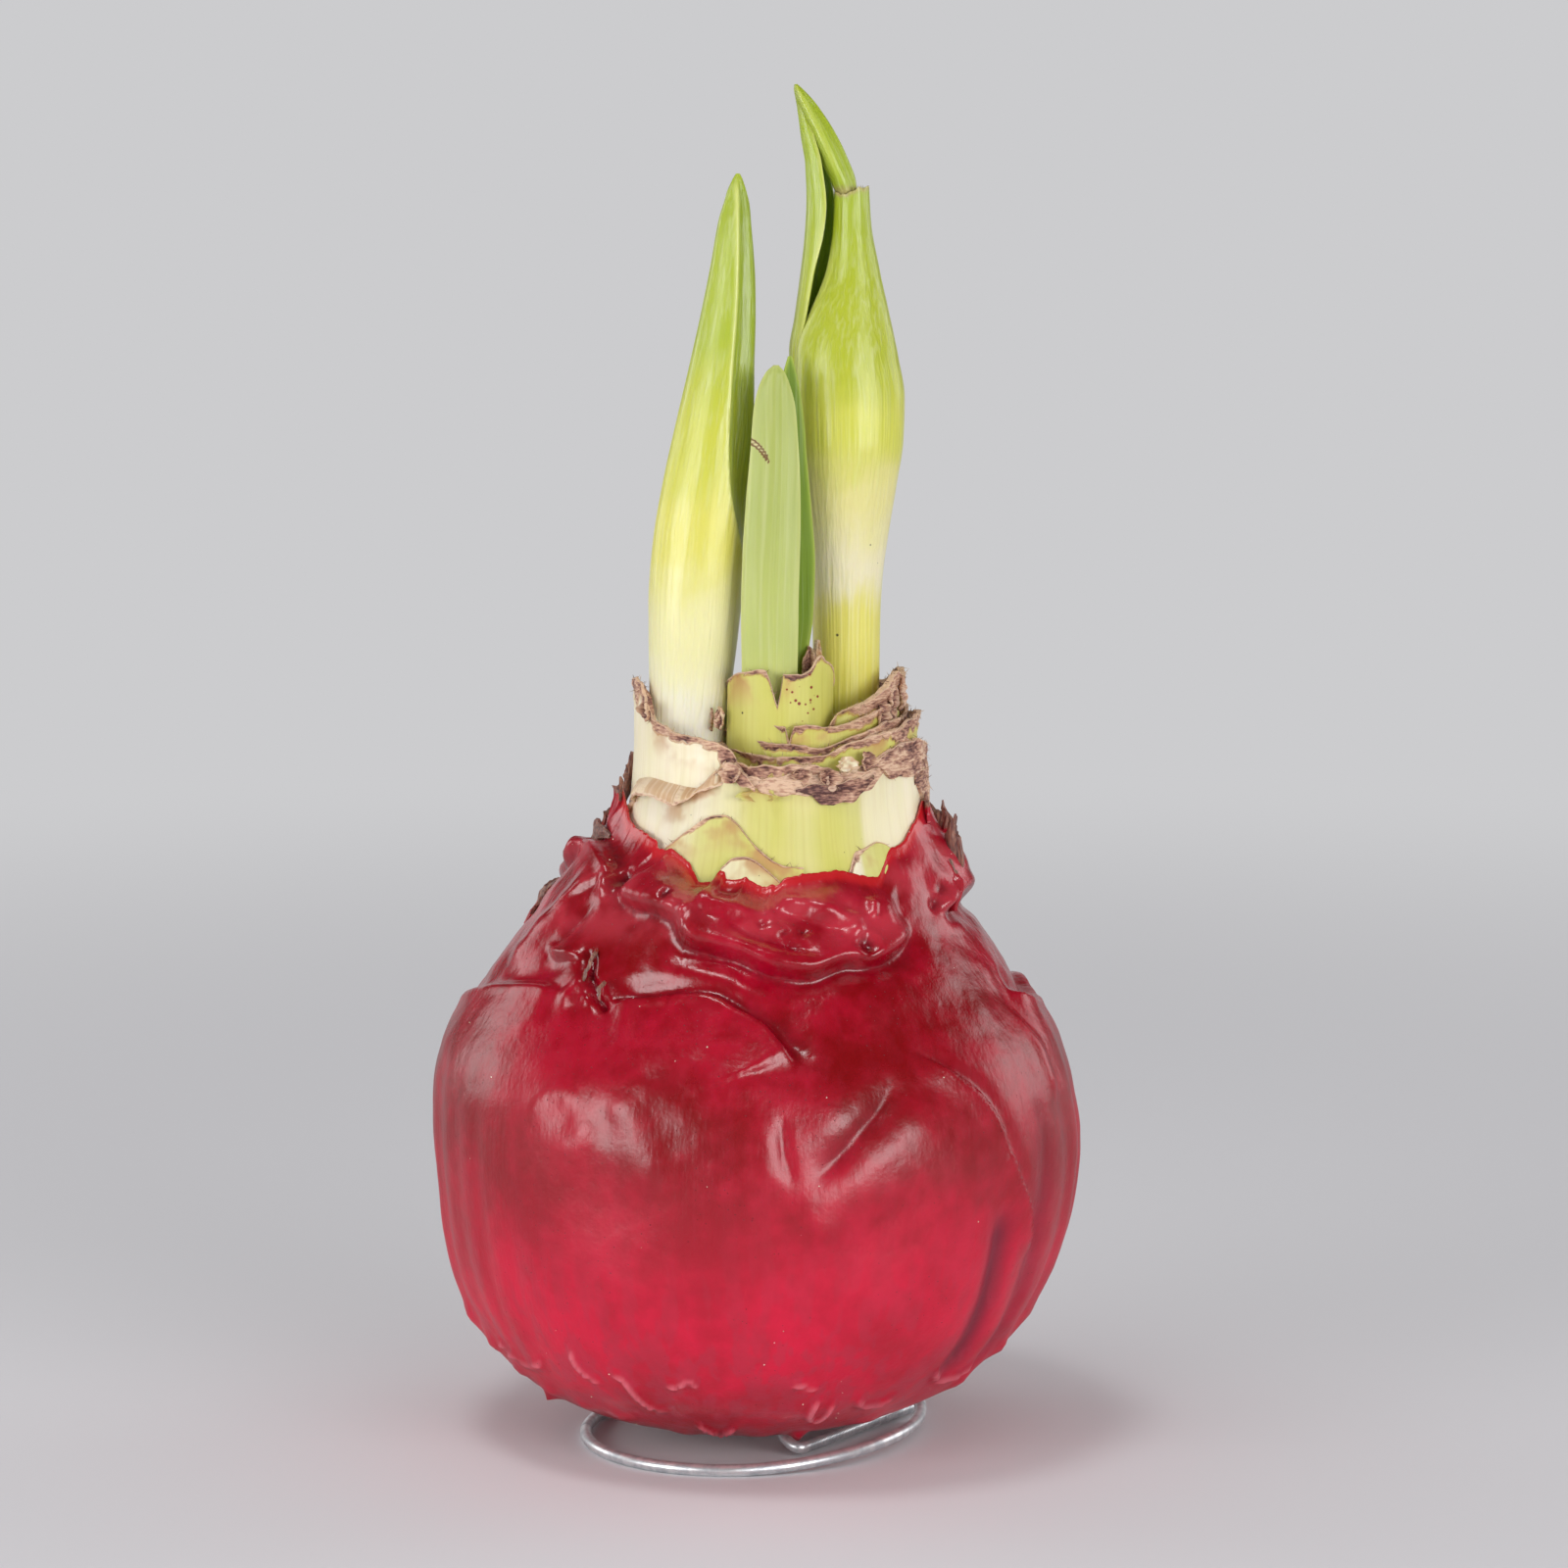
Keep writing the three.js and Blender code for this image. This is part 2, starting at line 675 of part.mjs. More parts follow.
/** The ring: an oval that lies flat, apart from its loose end. */
class RingArc extends THREE.Curve {
  rise = through(RING_RISE);

  getPoint(t, target = new THREE.Vector3()) {
    const degrees = RING_ENDS[0] + (RING_ENDS[1] - RING_ENDS[0]) * t;
    const [long, wide] = RING_SIZE.map((size) => (size - WIRE_DIAMETER) / 2);
    const turned = rad(degrees - RING_TURN);
    const radius = (long * wide) / Math.hypot(wide * Math.cos(turned), long * Math.sin(turned));
    return target.set(
      RING_MIDDLE[0] + radius * Math.cos(rad(degrees)),
      RING_MIDDLE[1] + radius * Math.sin(rad(degrees)),
      WIRE_REST + this.rise(degrees),
    );
  }
}

/** A smooth bend between two points that leaves and arrives along the given directions. */
function bend(from, leaving, to, arriving) {
  return new THREE.CubicBezierCurve3(
    from,
    from.clone().add(leaving),
    to.clone().sub(arriving),
    to,
  );
}

/** The wire's centre line: round the ring, across under the bulb, and up into its base. */
function wirePath() {
  const ring = new RingArc();
  const ringEnd = ring.getPoint(1);
  const ringWay = ring.getTangent(1);
  const [outer, inner] = CROSSBAR.map((p) => new THREE.Vector3(...p));
  const barWay = inner.clone().sub(outer).normalize();
  const foot = new THREE.Vector3(...PRONG_AT, 4);
  const up = new THREE.Vector3(0, 0, 1);
  const path = new THREE.CurvePath();
  path.add(ring);
  path.add(
    bend(ringEnd, ringWay.multiplyScalar(4), outer, barWay.clone().multiplyScalar(3)),
  );
  path.add(new THREE.LineCurve3(outer, inner));
  path.add(bend(inner, barWay.multiplyScalar(2), foot, up.clone().multiplyScalar(2)));
  path.add(new THREE.LineCurve3(foot, foot.clone().setZ(PRONG_TOP)));
  return path;
}

/** A regular outline with a flat side across the path's normal, turned by some degrees. */
function roundSection(radius, sides, turn) {
  return new THREE.Shape(
    Array.from({ length: sides }, (_, k) => {
      const angle = ((k + 0.5) * 2 * Math.PI) / sides + rad(turn);
      return new THREE.Vector2(radius * Math.cos(angle), radius * Math.sin(angle));
    }),
  );
}

/** The wire stand. */
function wireStand() {
  return new THREE.ExtrudeGeometry(roundSection(WIRE_RADIUS, WIRE_SIDES, SECTION_ROLL), {
    steps: 96,
    bevelEnabled: false,
    extrudePath: wirePath(),
  });
}

/** The hole that the wire's prong makes in the wax and the bulb. */
function prongHole() {
  const deep = PRONG_TOP + CLEARANCE + 1;
  const hole = new THREE.CylinderGeometry(1.5, 1.5, deep, 10);
  hole.rotateX(Math.PI / 2);
  hole.translate(PRONG_AT[0], PRONG_AT[1], deep / 2);
  return solidOf(hole);
}

// ---------------------------------------------------------------- the assembly
const FINISHES = {
  wax: { color: 0xb3122b, roughness: 0.28, metalness: 0 },
  bulb: { color: 0xd3d98f, roughness: 0.6, metalness: 0 },
  leaf: { color: 0x9fc44a, roughness: 0.4, metalness: 0 },
  shoot: { color: 0xc9dd6a, roughness: 0.35, metalness: 0 },
  wire: { color: 0xc9ccd0, roughness: 0.3, metalness: 1 },
};

const object = new THREE.Group();

/** Adds a named piece with its finish. */
function place(name, geometry, finish) {
  const mesh = new THREE.Mesh(geometry, new THREE.MeshStandardMaterial(FINISHES[finish]));
  mesh.name = name;
  object.add(mesh);
}

// What stands in the neck leaves a pocket of its own shape, a little larger, in the bulb.
const pockets = [
  shoot(LEFT_SHOOT, 20, CLEARANCE),
  shoot(RIGHT_SHOOT, 20, CLEARANCE),
  blade(FRONT_LEAF, { ...FRONT_BLADE, grow: CLEARANCE }),
  blade(BACK_LEAF, { ...BACK_BLADE, grow: CLEARANCE }),
].map(solidOf);
const bulb = pockets.reduce(
  (body, pocket) => body.subtract(pocket),
  bulbBody().intersect(insideWax()),
);

place("wire_stand", wireStand(), "wire");
place("wax_coat", geometryOf(waxCoat().subtract(prongHole())), "wax");
place("bulb", geometryOf(bulb.subtract(prongHole())), "bulb");
place("left_flower_shoot", shoot(LEFT_SHOOT, 28, 0, leftFurrow), "shoot");
const rightShoot = [shoot(RIGHT_SHOOT, 26), shoot(SNAPPED_END, 12), blade(REAR_BRACT, REAR_BLADE)];
place("right_flower_shoot", joined(rightShoot), "shoot");
place("front_leaf", blade(FRONT_LEAF, FRONT_BLADE), "leaf");
place("back_leaf", blade(BACK_LEAF, BACK_BLADE), "leaf");

export default object;
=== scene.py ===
"""A waxed amaryllis bulb on its wire stand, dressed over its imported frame.

Sizes are in millimetres until a mesh is made. Bearings are degrees round from the front
(towards -Y), positive towards +X. Heights are over the surface that the stand rests on.
"""
import logging
import math
from collections.abc import Sequence
from dataclasses import dataclass, field
from enum import Enum
from functools import reduce

import bpy
import numpy as np
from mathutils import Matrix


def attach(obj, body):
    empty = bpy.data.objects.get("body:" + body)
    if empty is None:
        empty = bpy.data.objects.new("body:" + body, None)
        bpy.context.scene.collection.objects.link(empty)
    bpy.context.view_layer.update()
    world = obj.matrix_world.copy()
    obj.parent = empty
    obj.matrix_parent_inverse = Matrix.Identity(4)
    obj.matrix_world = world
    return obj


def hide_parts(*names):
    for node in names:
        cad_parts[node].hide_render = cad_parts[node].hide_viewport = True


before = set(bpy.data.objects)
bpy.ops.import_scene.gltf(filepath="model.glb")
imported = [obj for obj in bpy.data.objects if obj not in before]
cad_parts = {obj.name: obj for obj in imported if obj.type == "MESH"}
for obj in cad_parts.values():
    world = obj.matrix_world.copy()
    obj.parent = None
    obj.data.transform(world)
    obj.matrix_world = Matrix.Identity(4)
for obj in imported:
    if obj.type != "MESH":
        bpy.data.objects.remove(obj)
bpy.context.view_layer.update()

MM = 0.001
LOG = logging.getLogger("waxed_amaryllis")

Array = np.ndarray
Socket, Tree = bpy.types.NodeSocket, bpy.types.NodeTree
Material, Piece = bpy.types.Material, bpy.types.Object
Pair = tuple[float, float]
Path = tuple[Pair, ...]
Triple = tuple[float, float, float]
Stops = Sequence[tuple[float, tuple]]
Inputs = dict[str | int, object]
Outputs = bpy.types.NodeOutputs


# ---- small maths
def smooth(x: Array, low: float, high: float) -> Array:
    """Rises smoothly from 0 at low to 1 at high."""
    t = np.clip((np.asarray(x, float) - low) / (high - low), 0.0, 1.0)
    return t * t * (3 - 2 * t)


def hump(distance: Array, half_width: float) -> Array:
    """A soft hump of height 1 round zero distance."""
    return np.exp(-((np.asarray(distance, float) / half_width) ** 2))


def tint(red: int, green: int, blue: int) -> tuple[float, float, float, float]:
    """A display colour, 0 to 255 a channel, as linear light."""
    parts = [c / 255 for c in (red, green, blue)]
    linear = [c / 12.92 if c <= 0.04045 else ((c + 0.055) / 1.055) ** 2.4 for c in parts]
    return (*linear, 1.0)


def oval(turn: Array, z: Array, wide: Array, deep: Array, x: Array = 0, y: Array = 0) -> Array:
    """Points round an oval.

    Args:
        turn: Bearings in radians.
        z: Heights.
        wide: Half-widths along X.
        deep: Half-depths along Y.
        x: The middle's X.
        y: The middle's Y.

    Returns:
        Points, with X, Y and Z last.
    """
    at = np.broadcast_arrays(x + wide * np.sin(turn), y - deep * np.cos(turn), z)
    return np.stack(at, -1)


def band(x: Array, low: float, full: float, falling: float, high: float) -> Array:
    """Rises smoothly from 0 at low to 1 at full, and falls to 0 again from falling to high."""
    return smooth(x, low, full) * (1 - smooth(x, falling, high))


def travelled(points: Array) -> Array:
    """The way gone along a line at each of its points."""
    return np.concatenate([[0], np.cumsum(np.linalg.norm(np.diff(points, axis=0), axis=1))])


def hermite(t: Array, start: Array, leaving: Array, end: Array, arriving: Array) -> Array:
    """A cubic from start to end at shares t of the way, with its slopes at both ends."""
    t2, t3 = t * t, t * t * t
    near = (2 * t3 - 3 * t2 + 1) * start + (t3 - 2 * t2 + t) * leaving
    return near + (3 * t2 - 2 * t3) * end + (t3 - t2) * arriving


class Curve:
    """A smooth curve through points that never swings past them (monotone cubic)."""

    def __init__(self, points: Sequence[Pair]) -> None:
        """Fits the curve.

        Args:
            points: Pairs of x and y, x rising.
        """
        self.x = np.array([p[0] for p in points], float)
        self.y = np.array([p[1] for p in points], float)
        self.step = np.diff(self.x)
        slope = np.diff(self.y) / self.step
        self.tangent = np.zeros_like(self.x)
        self.tangent[0], self.tangent[-1] = slope[0], slope[-1]
        for i in range(1, len(self.x) - 1):
            before, after = slope[i - 1], slope[i]
            if before * after > 0:
                a = self.step[i - 1] + 2 * self.step[i]
                b = 2 * self.step[i - 1] + self.step[i]
                self.tangent[i] = (a + b) / (a / after + b / before)

    def __call__(self, at: Array) -> Array:
        """The curve's y at each x, held level past its ends."""
        at = np.clip(np.asarray(at, float), self.x[0], self.x[-1])
        i = np.clip(np.searchsorted(self.x, at, side="right") - 1, 0, len(self.step) - 1)
        h = self.step[i]
        slopes = h * self.tangent[i], h * self.tangent[i + 1]
        return hermite((at - self.x[i]) / h, self.y[i], slopes[0], self.y[i + 1], slopes[1])


class Noise:
    """Seeded smooth noise, from -1 to 1, on a repeating lattice."""

    SIDE = 32

    def __init__(self, seed: int) -> None:
        """Fills the lattice.

        Args:
            seed: Fixes the pattern.
        """
        rng = np.random.default_rng(seed)
        self.table = rng.random((self.SIDE,) * 3) * 2 - 1

    def at(self, points: Array, size: float) -> Array:
        """Noise at points, n by 3, with lumps about size across."""
        p = np.asarray(points, float) / size
        cell = np.floor(p).astype(int)
        f = p - cell
        f = f * f * (3 - 2 * f)
        total = np.zeros(p.shape[:-1])
        for corner in np.ndindex(2, 2, 2):
            weight = np.prod([f[..., a] if corner[a] else 1 - f[..., a] for a in range(3)], axis=0)
            total += weight * self.table[tuple(np.moveaxis((cell + corner) % self.SIDE, -1, 0))]
        return total

    def fractal(self, points: Array, size: float, octaves: int = 3) -> Array:
        """Noise with finer and weaker noise laid over it."""
        return sum(self.at(points, size / 2**k) / 2**k for k in range(octaves))

    def line(self, along: Array, size: float, octaves: int = 3) -> Array:
        """Noise along one number, such as a run round a rim."""
        along = np.asarray(along, float)
        points = np.stack([along, np.full_like(along, 3.3 * size), np.full_like(along, 1.7)], -1)
        return self.fractal(points, size, octaves)


# ---- meshes
def grid_quads(rows: int, columns: int, start: int = 0, wrap: bool = False) -> Array:
    """Quads of a grid of points, row after row.

    Args:
        rows: Rows of points, going up.
        columns: Points in a row, going round towards rising bearings.
        start: Index of the grid's first point.
        wrap: Whether each row closes on itself.

    Returns:
        Faces, n by 4, that look outwards.
    """
    j, k = np.mgrid[:rows - 1, :columns if wrap else columns - 1]
    a, b = start + j * columns + k, start + j * columns + (k + 1) % columns
    return np.stack([a, b, b + columns, a + columns], -1).reshape(-1, 4)


@dataclass
class Shape:
    """A mesh in the making: points in millimetres, faces and named values at each point."""

    points: Array
    faces: list[list[int]]
    values: dict[str, Array] = field(default_factory=dict)

    def joined(self, other: "Shape") -> "Shape":
        """This shape and another in one; a value that one of them lacks is 0 there."""
        count, more = len(self.points), len(other.points)
        faces = self.faces + [[i + count for i in face] for face in other.faces]
        values = {}
        for name, known in (other.values | self.values).items():
            mine = self.values.get(name, np.zeros((count, *known.shape[1:])))
            theirs = other.values.get(name, np.zeros((more, *known.shape[1:])))
            values[name] = np.concatenate([mine, theirs])
        return Shape(np.concatenate([self.points, other.points]), faces, values)

    def object(self, name: str, material: Material, crisp: float = 60.0) -> Piece:
        """Makes the Blender object.

        Args:
            name: The piece's name.
            material: Its finish.
            crisp: Edges sharper than this, in degrees, stay crisp.

        Returns:
            The linked object, at the origin.
        """
        mesh = bpy.data.meshes.new(name)
        mesh.from_pydata((self.points * MM).tolist(), [], self.faces)
        for label, data in self.values.items():
            kind, slot = ("FLOAT_VECTOR", "vector") if data.ndim > 1 else ("FLOAT", "value")
            layer = mesh.attributes.new(label, kind, "POINT")
            layer.data.foreach_set(slot, data.astype(np.float32).ravel())
        mesh.shade_smooth()
        mesh.set_sharp_from_angle(angle=math.radians(crisp))
        mesh.materials.append(material)
        return placed(name, mesh)


def placed(name: str, data: bpy.types.ID) -> Piece:
    """A new object in the scene, at the origin."""
    made = bpy.data.objects.new(name, data)
    bpy.context.scene.collection.objects.link(made)
    return made


def join_all(shapes: Sequence[Shape]) -> Shape:
    """All the shapes in one."""
    return reduce(Shape.joined, shapes)


def closed_tube(rings: Array, values: dict[str, Array] | None = None) -> Shape:
    """A closed body through rings, each end closed by a fan.

    Args:
        rings: Points, rings by columns by 3, each ring going round and the rings going up.
        values: Named values, rings by columns.

    Returns:
        The closed shape.
    """
    rows, columns = rings.shape[:2]
    points = np.concatenate([rings.reshape(-1, 3), [rings[0].mean(0)], [rings[-1].mean(0)]])
    faces = grid_quads(rows, columns, wrap=True).tolist()
    first, last, top = rows * columns, rows * columns + 1, (rows - 1) * columns
    for k in range(columns):
        following = (k + 1) % columns
        faces.append([first, following, k])
        faces.append([last, top + k, top + following])
    ends = {}
    for name, data in (values or {}).items():
        flat = data.reshape(rows * columns, *data.shape[2:])
        ends[name] = np.concatenate([flat, [data[0].mean(0)], [data[-1].mean(0)]])
    return Shape(points, faces, ends)


def closed_sheet(front: Array, back: Array, values: dict[str, Array] | None = None) -> Shape:
    """A closed body between two open grids of points.

    Args:
        front: Rows by columns by 3, rows going up and columns towards rising bearings.
        back: The far side, point by point.
        values: Named values, rows by columns, used on both sides.

    Returns:
        The closed shape.
    """
    rows, columns = front.shape[:2]
    far = rows * columns
    faces = grid_quads(rows, columns).tolist()
    faces += [face[::-1] for face in grid_quads(rows, columns, far).tolist()]
    top = (rows - 1) * columns
    for k in range(columns - 1):
        faces.append([far + k, far + k + 1, k + 1, k])
        faces.append([top + k, top + k + 1, far + top + k + 1, far + top + k])
    for j in range(rows - 1):
        a, b = j * columns, (j + 1) * columns
        faces.append([far + a, a, b, far + b])
        faces.append([a + columns - 1, far + a + columns - 1, far + b + columns - 1, b + columns - 1])
    points = np.concatenate([front.reshape(-1, 3), back.reshape(-1, 3)])
    both = {}
    for name, data in (values or {}).items():
        flat = data.reshape(rows * columns, *data.shape[2:])
        both[name] = np.concatenate([flat, flat])
    return Shape(points, faces, both)


def dress(piece: Piece, node: str) -> None:
    """Lets a piece ride on the part and stand for a frame node.

    Args:
        piece: The finished piece.
        node: The frame node that it stands for.
    """
    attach(piece, "root")
    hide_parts(node)
    LOG.info("%s: %d faces", piece.name, len(piece.data.polygons))


# ---- the bulb's skin
@dataclass
class BulbSkin:
    """The waxed bulb's plain outline, turned round a leaning axis."""

    outline: Path = (
        (0, 2.7), (10, 2.75), (17, 3.3), (24.5, 5.4), (31, 8.8), (37.2, 14.2), (41, 20),
        (43.5, 26), (45.2, 34), (46, 44), (45.4, 51), (43.6, 57), (40.4, 62), (36.2, 68),
        (31.8, 74), (28.4, 79), (25.2, 84), (23.4, 88), (22.6, 92), (22.4, 98),
    )
    axis: Path = ((0, -2), (14, -1.4), (40, 0), (60, -1), (76, -0.4), (86, 1.8), (98, 2.8))

    def __post_init__(self) -> None:
        """Measures runs along the outline."""
        points = np.array(self.outline, float)
        run = travelled(points)
        self.radius = Curve(list(zip(run, points[:, 0])))
        self.height = Curve(list(zip(run, points[:, 1])))
        self.run_at = Curve(list(zip(points[:, 1], run)))
        self.lean = Curve(self.axis)

    def place(self, degrees: Array, run: Array, lift: Array) -> Array:
        """Points at bearings, runs along the outline and lifts off it."""
        dr = self.radius(run + 0.5) - self.radius(run - 0.5)
        dz = self.height(run + 0.5) - self.height(run - 0.5)
        slope = np.hypot(dr, dz)
        radius = np.maximum(self.radius(run) + lift * dz / slope, 0)
        height = self.height(run) - lift * dr / slope
        turn = np.radians(degrees)
        return oval(turn, height, radius, radius, self.lean(height))


class Form(Enum):
    """What a stroke does to the skin."""

    LIP = "the side above the stroke lies over the side below"
    LEDGE = "the side below the stroke stands proud"
    RIDGE = "a raised line"
    CREASE = "a pressed line with soft shoulders"


@dataclass(frozen=True)
class Stroke:
    """A line of relief along bearings and heights, its sizes in millimetres."""

    form: Form
    path: Path
    lift: float
    width: float = 0.6
    fade: float = 7.0
    valley: float = 0.0
    droop: float = 0.0
    # over 0 paints shade along the stroke; under 0 paints a highlight along it
    shade_crumbs_and_shine: float = 0.0
    taper: float = 4.0


@dataclass(frozen=True)
class Knob:
    """A lump, or a hollow where lift is negative."""

    degrees: float
    height: float
    lift: float
    radius: float
    # painted shade in the knob's hollow or round it
    shade_crumbs_and_shine: float = 0.0


@dataclass(frozen=True)
class Flute:
    """A shallow groove that runs down the flank."""

    degrees: float
    depth: float
    width: float = 3.6
    span: tuple[float, float, float, float] = (8, 22, 46, 62)
    # how much painted shade darkens the groove towards purple
    groove_shade: float = 0.0


def nearest(line: Array, at: Array) -> tuple[Array, Array]:
    """Where points lie from a line.

    Args:
        line: The line's own points, n by 2.
        at: The points, m by 2.

    Returns:
        Distances, over 0 on the line's left, and how far along the line each one is.
    """
    best = np.full(len(at), 1e9)
    side, along = np.zeros(len(at)), np.zeros(len(at))
    reach = travelled(line)
    for i in range(len(line) - 1):
        a, way = line[i], line[i + 1] - line[i]
        length = np.hypot(*way)
        t = np.clip(((at - a) @ way) / length**2, 0, 1)
        distance = np.hypot(*(at - a - t[:, None] * way).T)
        closer = distance < best
        best = np.where(closer, distance, best)
        turn = way[0] * (at[:, 1] - a[1]) - way[1] * (at[:, 0] - a[0])
        side = np.where(closer, np.sign(turn), side)
        along = np.where(closer, reach[i] + t * length, along)
    return best * side, along


def around(degrees: Array, middle: float, radius: Array) -> Array:
    """Millimetres round the skin from a middle bearing, the shorter way."""
    return np.radians((degrees - middle + 180) % 360 - 180) * radius


@dataclass
class Relief:
    """Everything that lifts the skin off its plain outline."""

    skin: BulbSkin
    strokes: tuple[Stroke, ...]
    knobs: tuple[Knob, ...]
    flutes: tuple[Flute, ...]
    seed: int = 11

    def local(self, path: Sequence[Pair]) -> tuple[Array, float]:
        """A path in millimetres round and along the skin, drawn finely, and its mean radius."""
        knots = np.array([(d, self.skin.run_at(z)) for d, z in path], float)
        mean = float(np.mean(self.skin.radius(knots[:, 1])))
        knots[:, 0] = np.radians(knots[:, 0]) * mean
        reach = travelled(knots)
        fine = np.linspace(0, reach[-1], max(int(reach[-1] / 0.9), 3))
        if len(knots) < 4:
            return np.stack([np.interp(fine, reach, knots[:, a]) for a in (0, 1)], -1), mean
        tangent = np.gradient(knots, reach, axis=0)
        i = np.clip(np.searchsorted(reach, fine, side="right") - 1, 0, len(reach) - 2)
        h = (reach[i + 1] - reach[i])[:, None]
        t = (fine - reach[i])[:, None] / h
        return hermite(t, knots[i], h * tangent[i], knots[i + 1], h * tangent[i + 1]), mean

    def from_stroke(self, stroke: Stroke, degrees: Array, run: Array, out: Array) -> None:
        """Adds one stroke.

        Args:
            stroke: The stroke.
            degrees: Bearings.
            run: Runs along the outline.
            out: Rows of lift, slide along the skin, painted shade and highlight marks, and painted groove
                shade, added to in place.
        """
        line, mean = self.local(stroke.path)
        place = np.stack([np.radians(degrees) * mean, run], -1)
        stepped = stroke.form in (Form.LIP, Form.LEDGE)
        margin = max(3 * stroke.width, 2.2 * stroke.fade * stepped, 4)
        near = np.all((place > line.min(0) - margin) & (place < line.max(0) + margin), axis=1)
        if not near.any():
            return
        d, along = nearest(line, place[near])
        ends = smooth(along, 0, stroke.taper) * smooth(travelled(line)[-1] - along, 0, stroke.taper)
        w = stroke.width
        if stroke.form is Form.RIDGE:
            out[0, near] += stroke.lift * ends * hump(d, w)
            out[2, near] += stroke.shade_crumbs_and_shine * ends * hump(d, w)
        elif stroke.form is Form.CREASE:
            out[0, near] -= stroke.lift * ends * np.exp(-np.abs(d / w) ** 1.25)
            out[0, near] += 0.1 * stroke.lift * ends * hump(np.abs(d) - 2.2 * w, 1.3 * w)
            out[2, near] += stroke.shade_crumbs_and_shine * ends * hump(d, 0.8 * w)
        else:
            flip = 1 if stroke.form is Form.LIP else -1
            d = d * flip
            proud = smooth(d, -w, w) * np.exp(-((np.maximum(d, 0) / stroke.fade) ** 2))
            bead = 0.3 * hump(d - 1.1 * w, 1.3 * w)
            low = stroke.valley * hump(d + 1.7 * w + 0.4, 1.1 + w)
            out[0, near] += ends * (stroke.lift * (proud + bead) - low)
            out[1, near] -= flip * stroke.droop * ends * hump(d - 0.3, 1.2 * w + 0.4)
            out[2, near] += stroke.shade_crumbs_and_shine * ends * hump(d + 1.2 * w, 0.5 + 0.6 * w)

    def at(self, degrees: Array, run: Array) -> Array:
        """Relief at bearings and runs.

        Args:
            degrees: Bearings.
            run: Runs along the outline.

        Returns:
            Rows of lift, slide along the skin, painted shade and highlight marks, and painted groove shade.
        """
        out = np.zeros((4, len(degrees)))
        height, radius = self.skin.height(run), self.skin.radius(run)
        for stroke in self.strokes:
            self.from_stroke(stroke, degrees, run, out)
        for knob in self.knobs:
            aside = around(degrees, knob.degrees, radius)
            away = np.hypot(aside, run - self.skin.run_at(knob.height))
            out[0] += knob.lift * hump(away, knob.radius)
            out[2] += knob.shade_crumbs_and_shine * hump(away, 0.7 * knob.radius)
        turn = np.radians(degrees)
        place = oval(turn, height, radius, radius)
        noise = Noise(self.seed)
        sway = 2.2 * noise.at(place * (1, 1, 0.5), 14)
        for flute in self.flutes:
            along = band(height, *flute.span)
            aside = around(degrees, flute.degrees, radius) + sway
            out[0] -= flute.depth * along * hump(aside, flute.width)
            # painted shade in the grooves
            out[3] += flute.groove_shade * along * hump(aside, 1.1 * flute.width)
        # fine pleats down the flanks, and uneven wax all over, rougher on the shoulder and collar
        flank = smooth(degrees, 38, 70) + 0.45 * smooth(-degrees, 48, 80)
        low = 1 - smooth(height, 9, 24)
        belly = band(height, 5, 12, 60, 78)
        pleats = noise.fractal(place * (1, 1, 0.09) + 40, 4.6, 2)
        out[0] += 0.3 * pleats * belly * np.maximum(flank, 0.7 * low)
        out[0] += 0.30 * noise.fractal(place * (1, 1, 0.7), 17, 2) * smooth(height, 4, 12)
        out[0] += 0.055 * noise.fractal(place + 90, 3.4, 2)
        shoulder = smooth(height, 58, 70)
        deep = 0.13 + 0.15 * np.abs(np.sin(turn / 2))
        out[0] += deep * shoulder * noise.fractal(place * (0.8, 0.8, 1.2) + 7, 6.2, 3)
        collar = band(height, 72.5, 75.5, 80, 84)
        out[0] += 0.3 * collar * noise.fractal(place * (0.7, 0.7, 1) + 31, 4.6, 2)
        return out


# ---- the neck's outer form
@dataclass
class NeckForm:
    """The oval that the outer scales stand on; it spreads down to the wax."""

    middle: Pair = (2.7, 0.5)
    half: Pair = (20.6, 17.9)
    sideways: Path = ((80, 4.6), (84, 2.6), (88, 1.2), (93, 0.4), (99, 0))
    in_depth: Path = ((80, 6.8), (84, 4.8), (88, 3), (93, 1.2), (99, 0))

    def __post_init__(self) -> None:
        """Makes the spreading curves."""
        self.spread = (Curve(self.sideways), Curve(self.in_depth))

    def reach(self, degrees: Array, height: Array, skin: BulbSkin) -> Array:
        """Distance of the neck's outside from the bulb's axis, at bearings and heights."""
        turn = np.radians(degrees)
        a = self.half[0] + self.spread[0](height)
        b = self.half[1] + self.spread[1](height)
        own = a * b / np.hypot(b * np.sin(turn), a * np.cos(turn))
        shift_x = self.middle[0] - skin.lean(height)
        return own + shift_x * np.sin(turn) - self.middle[1] * np.cos(turn)


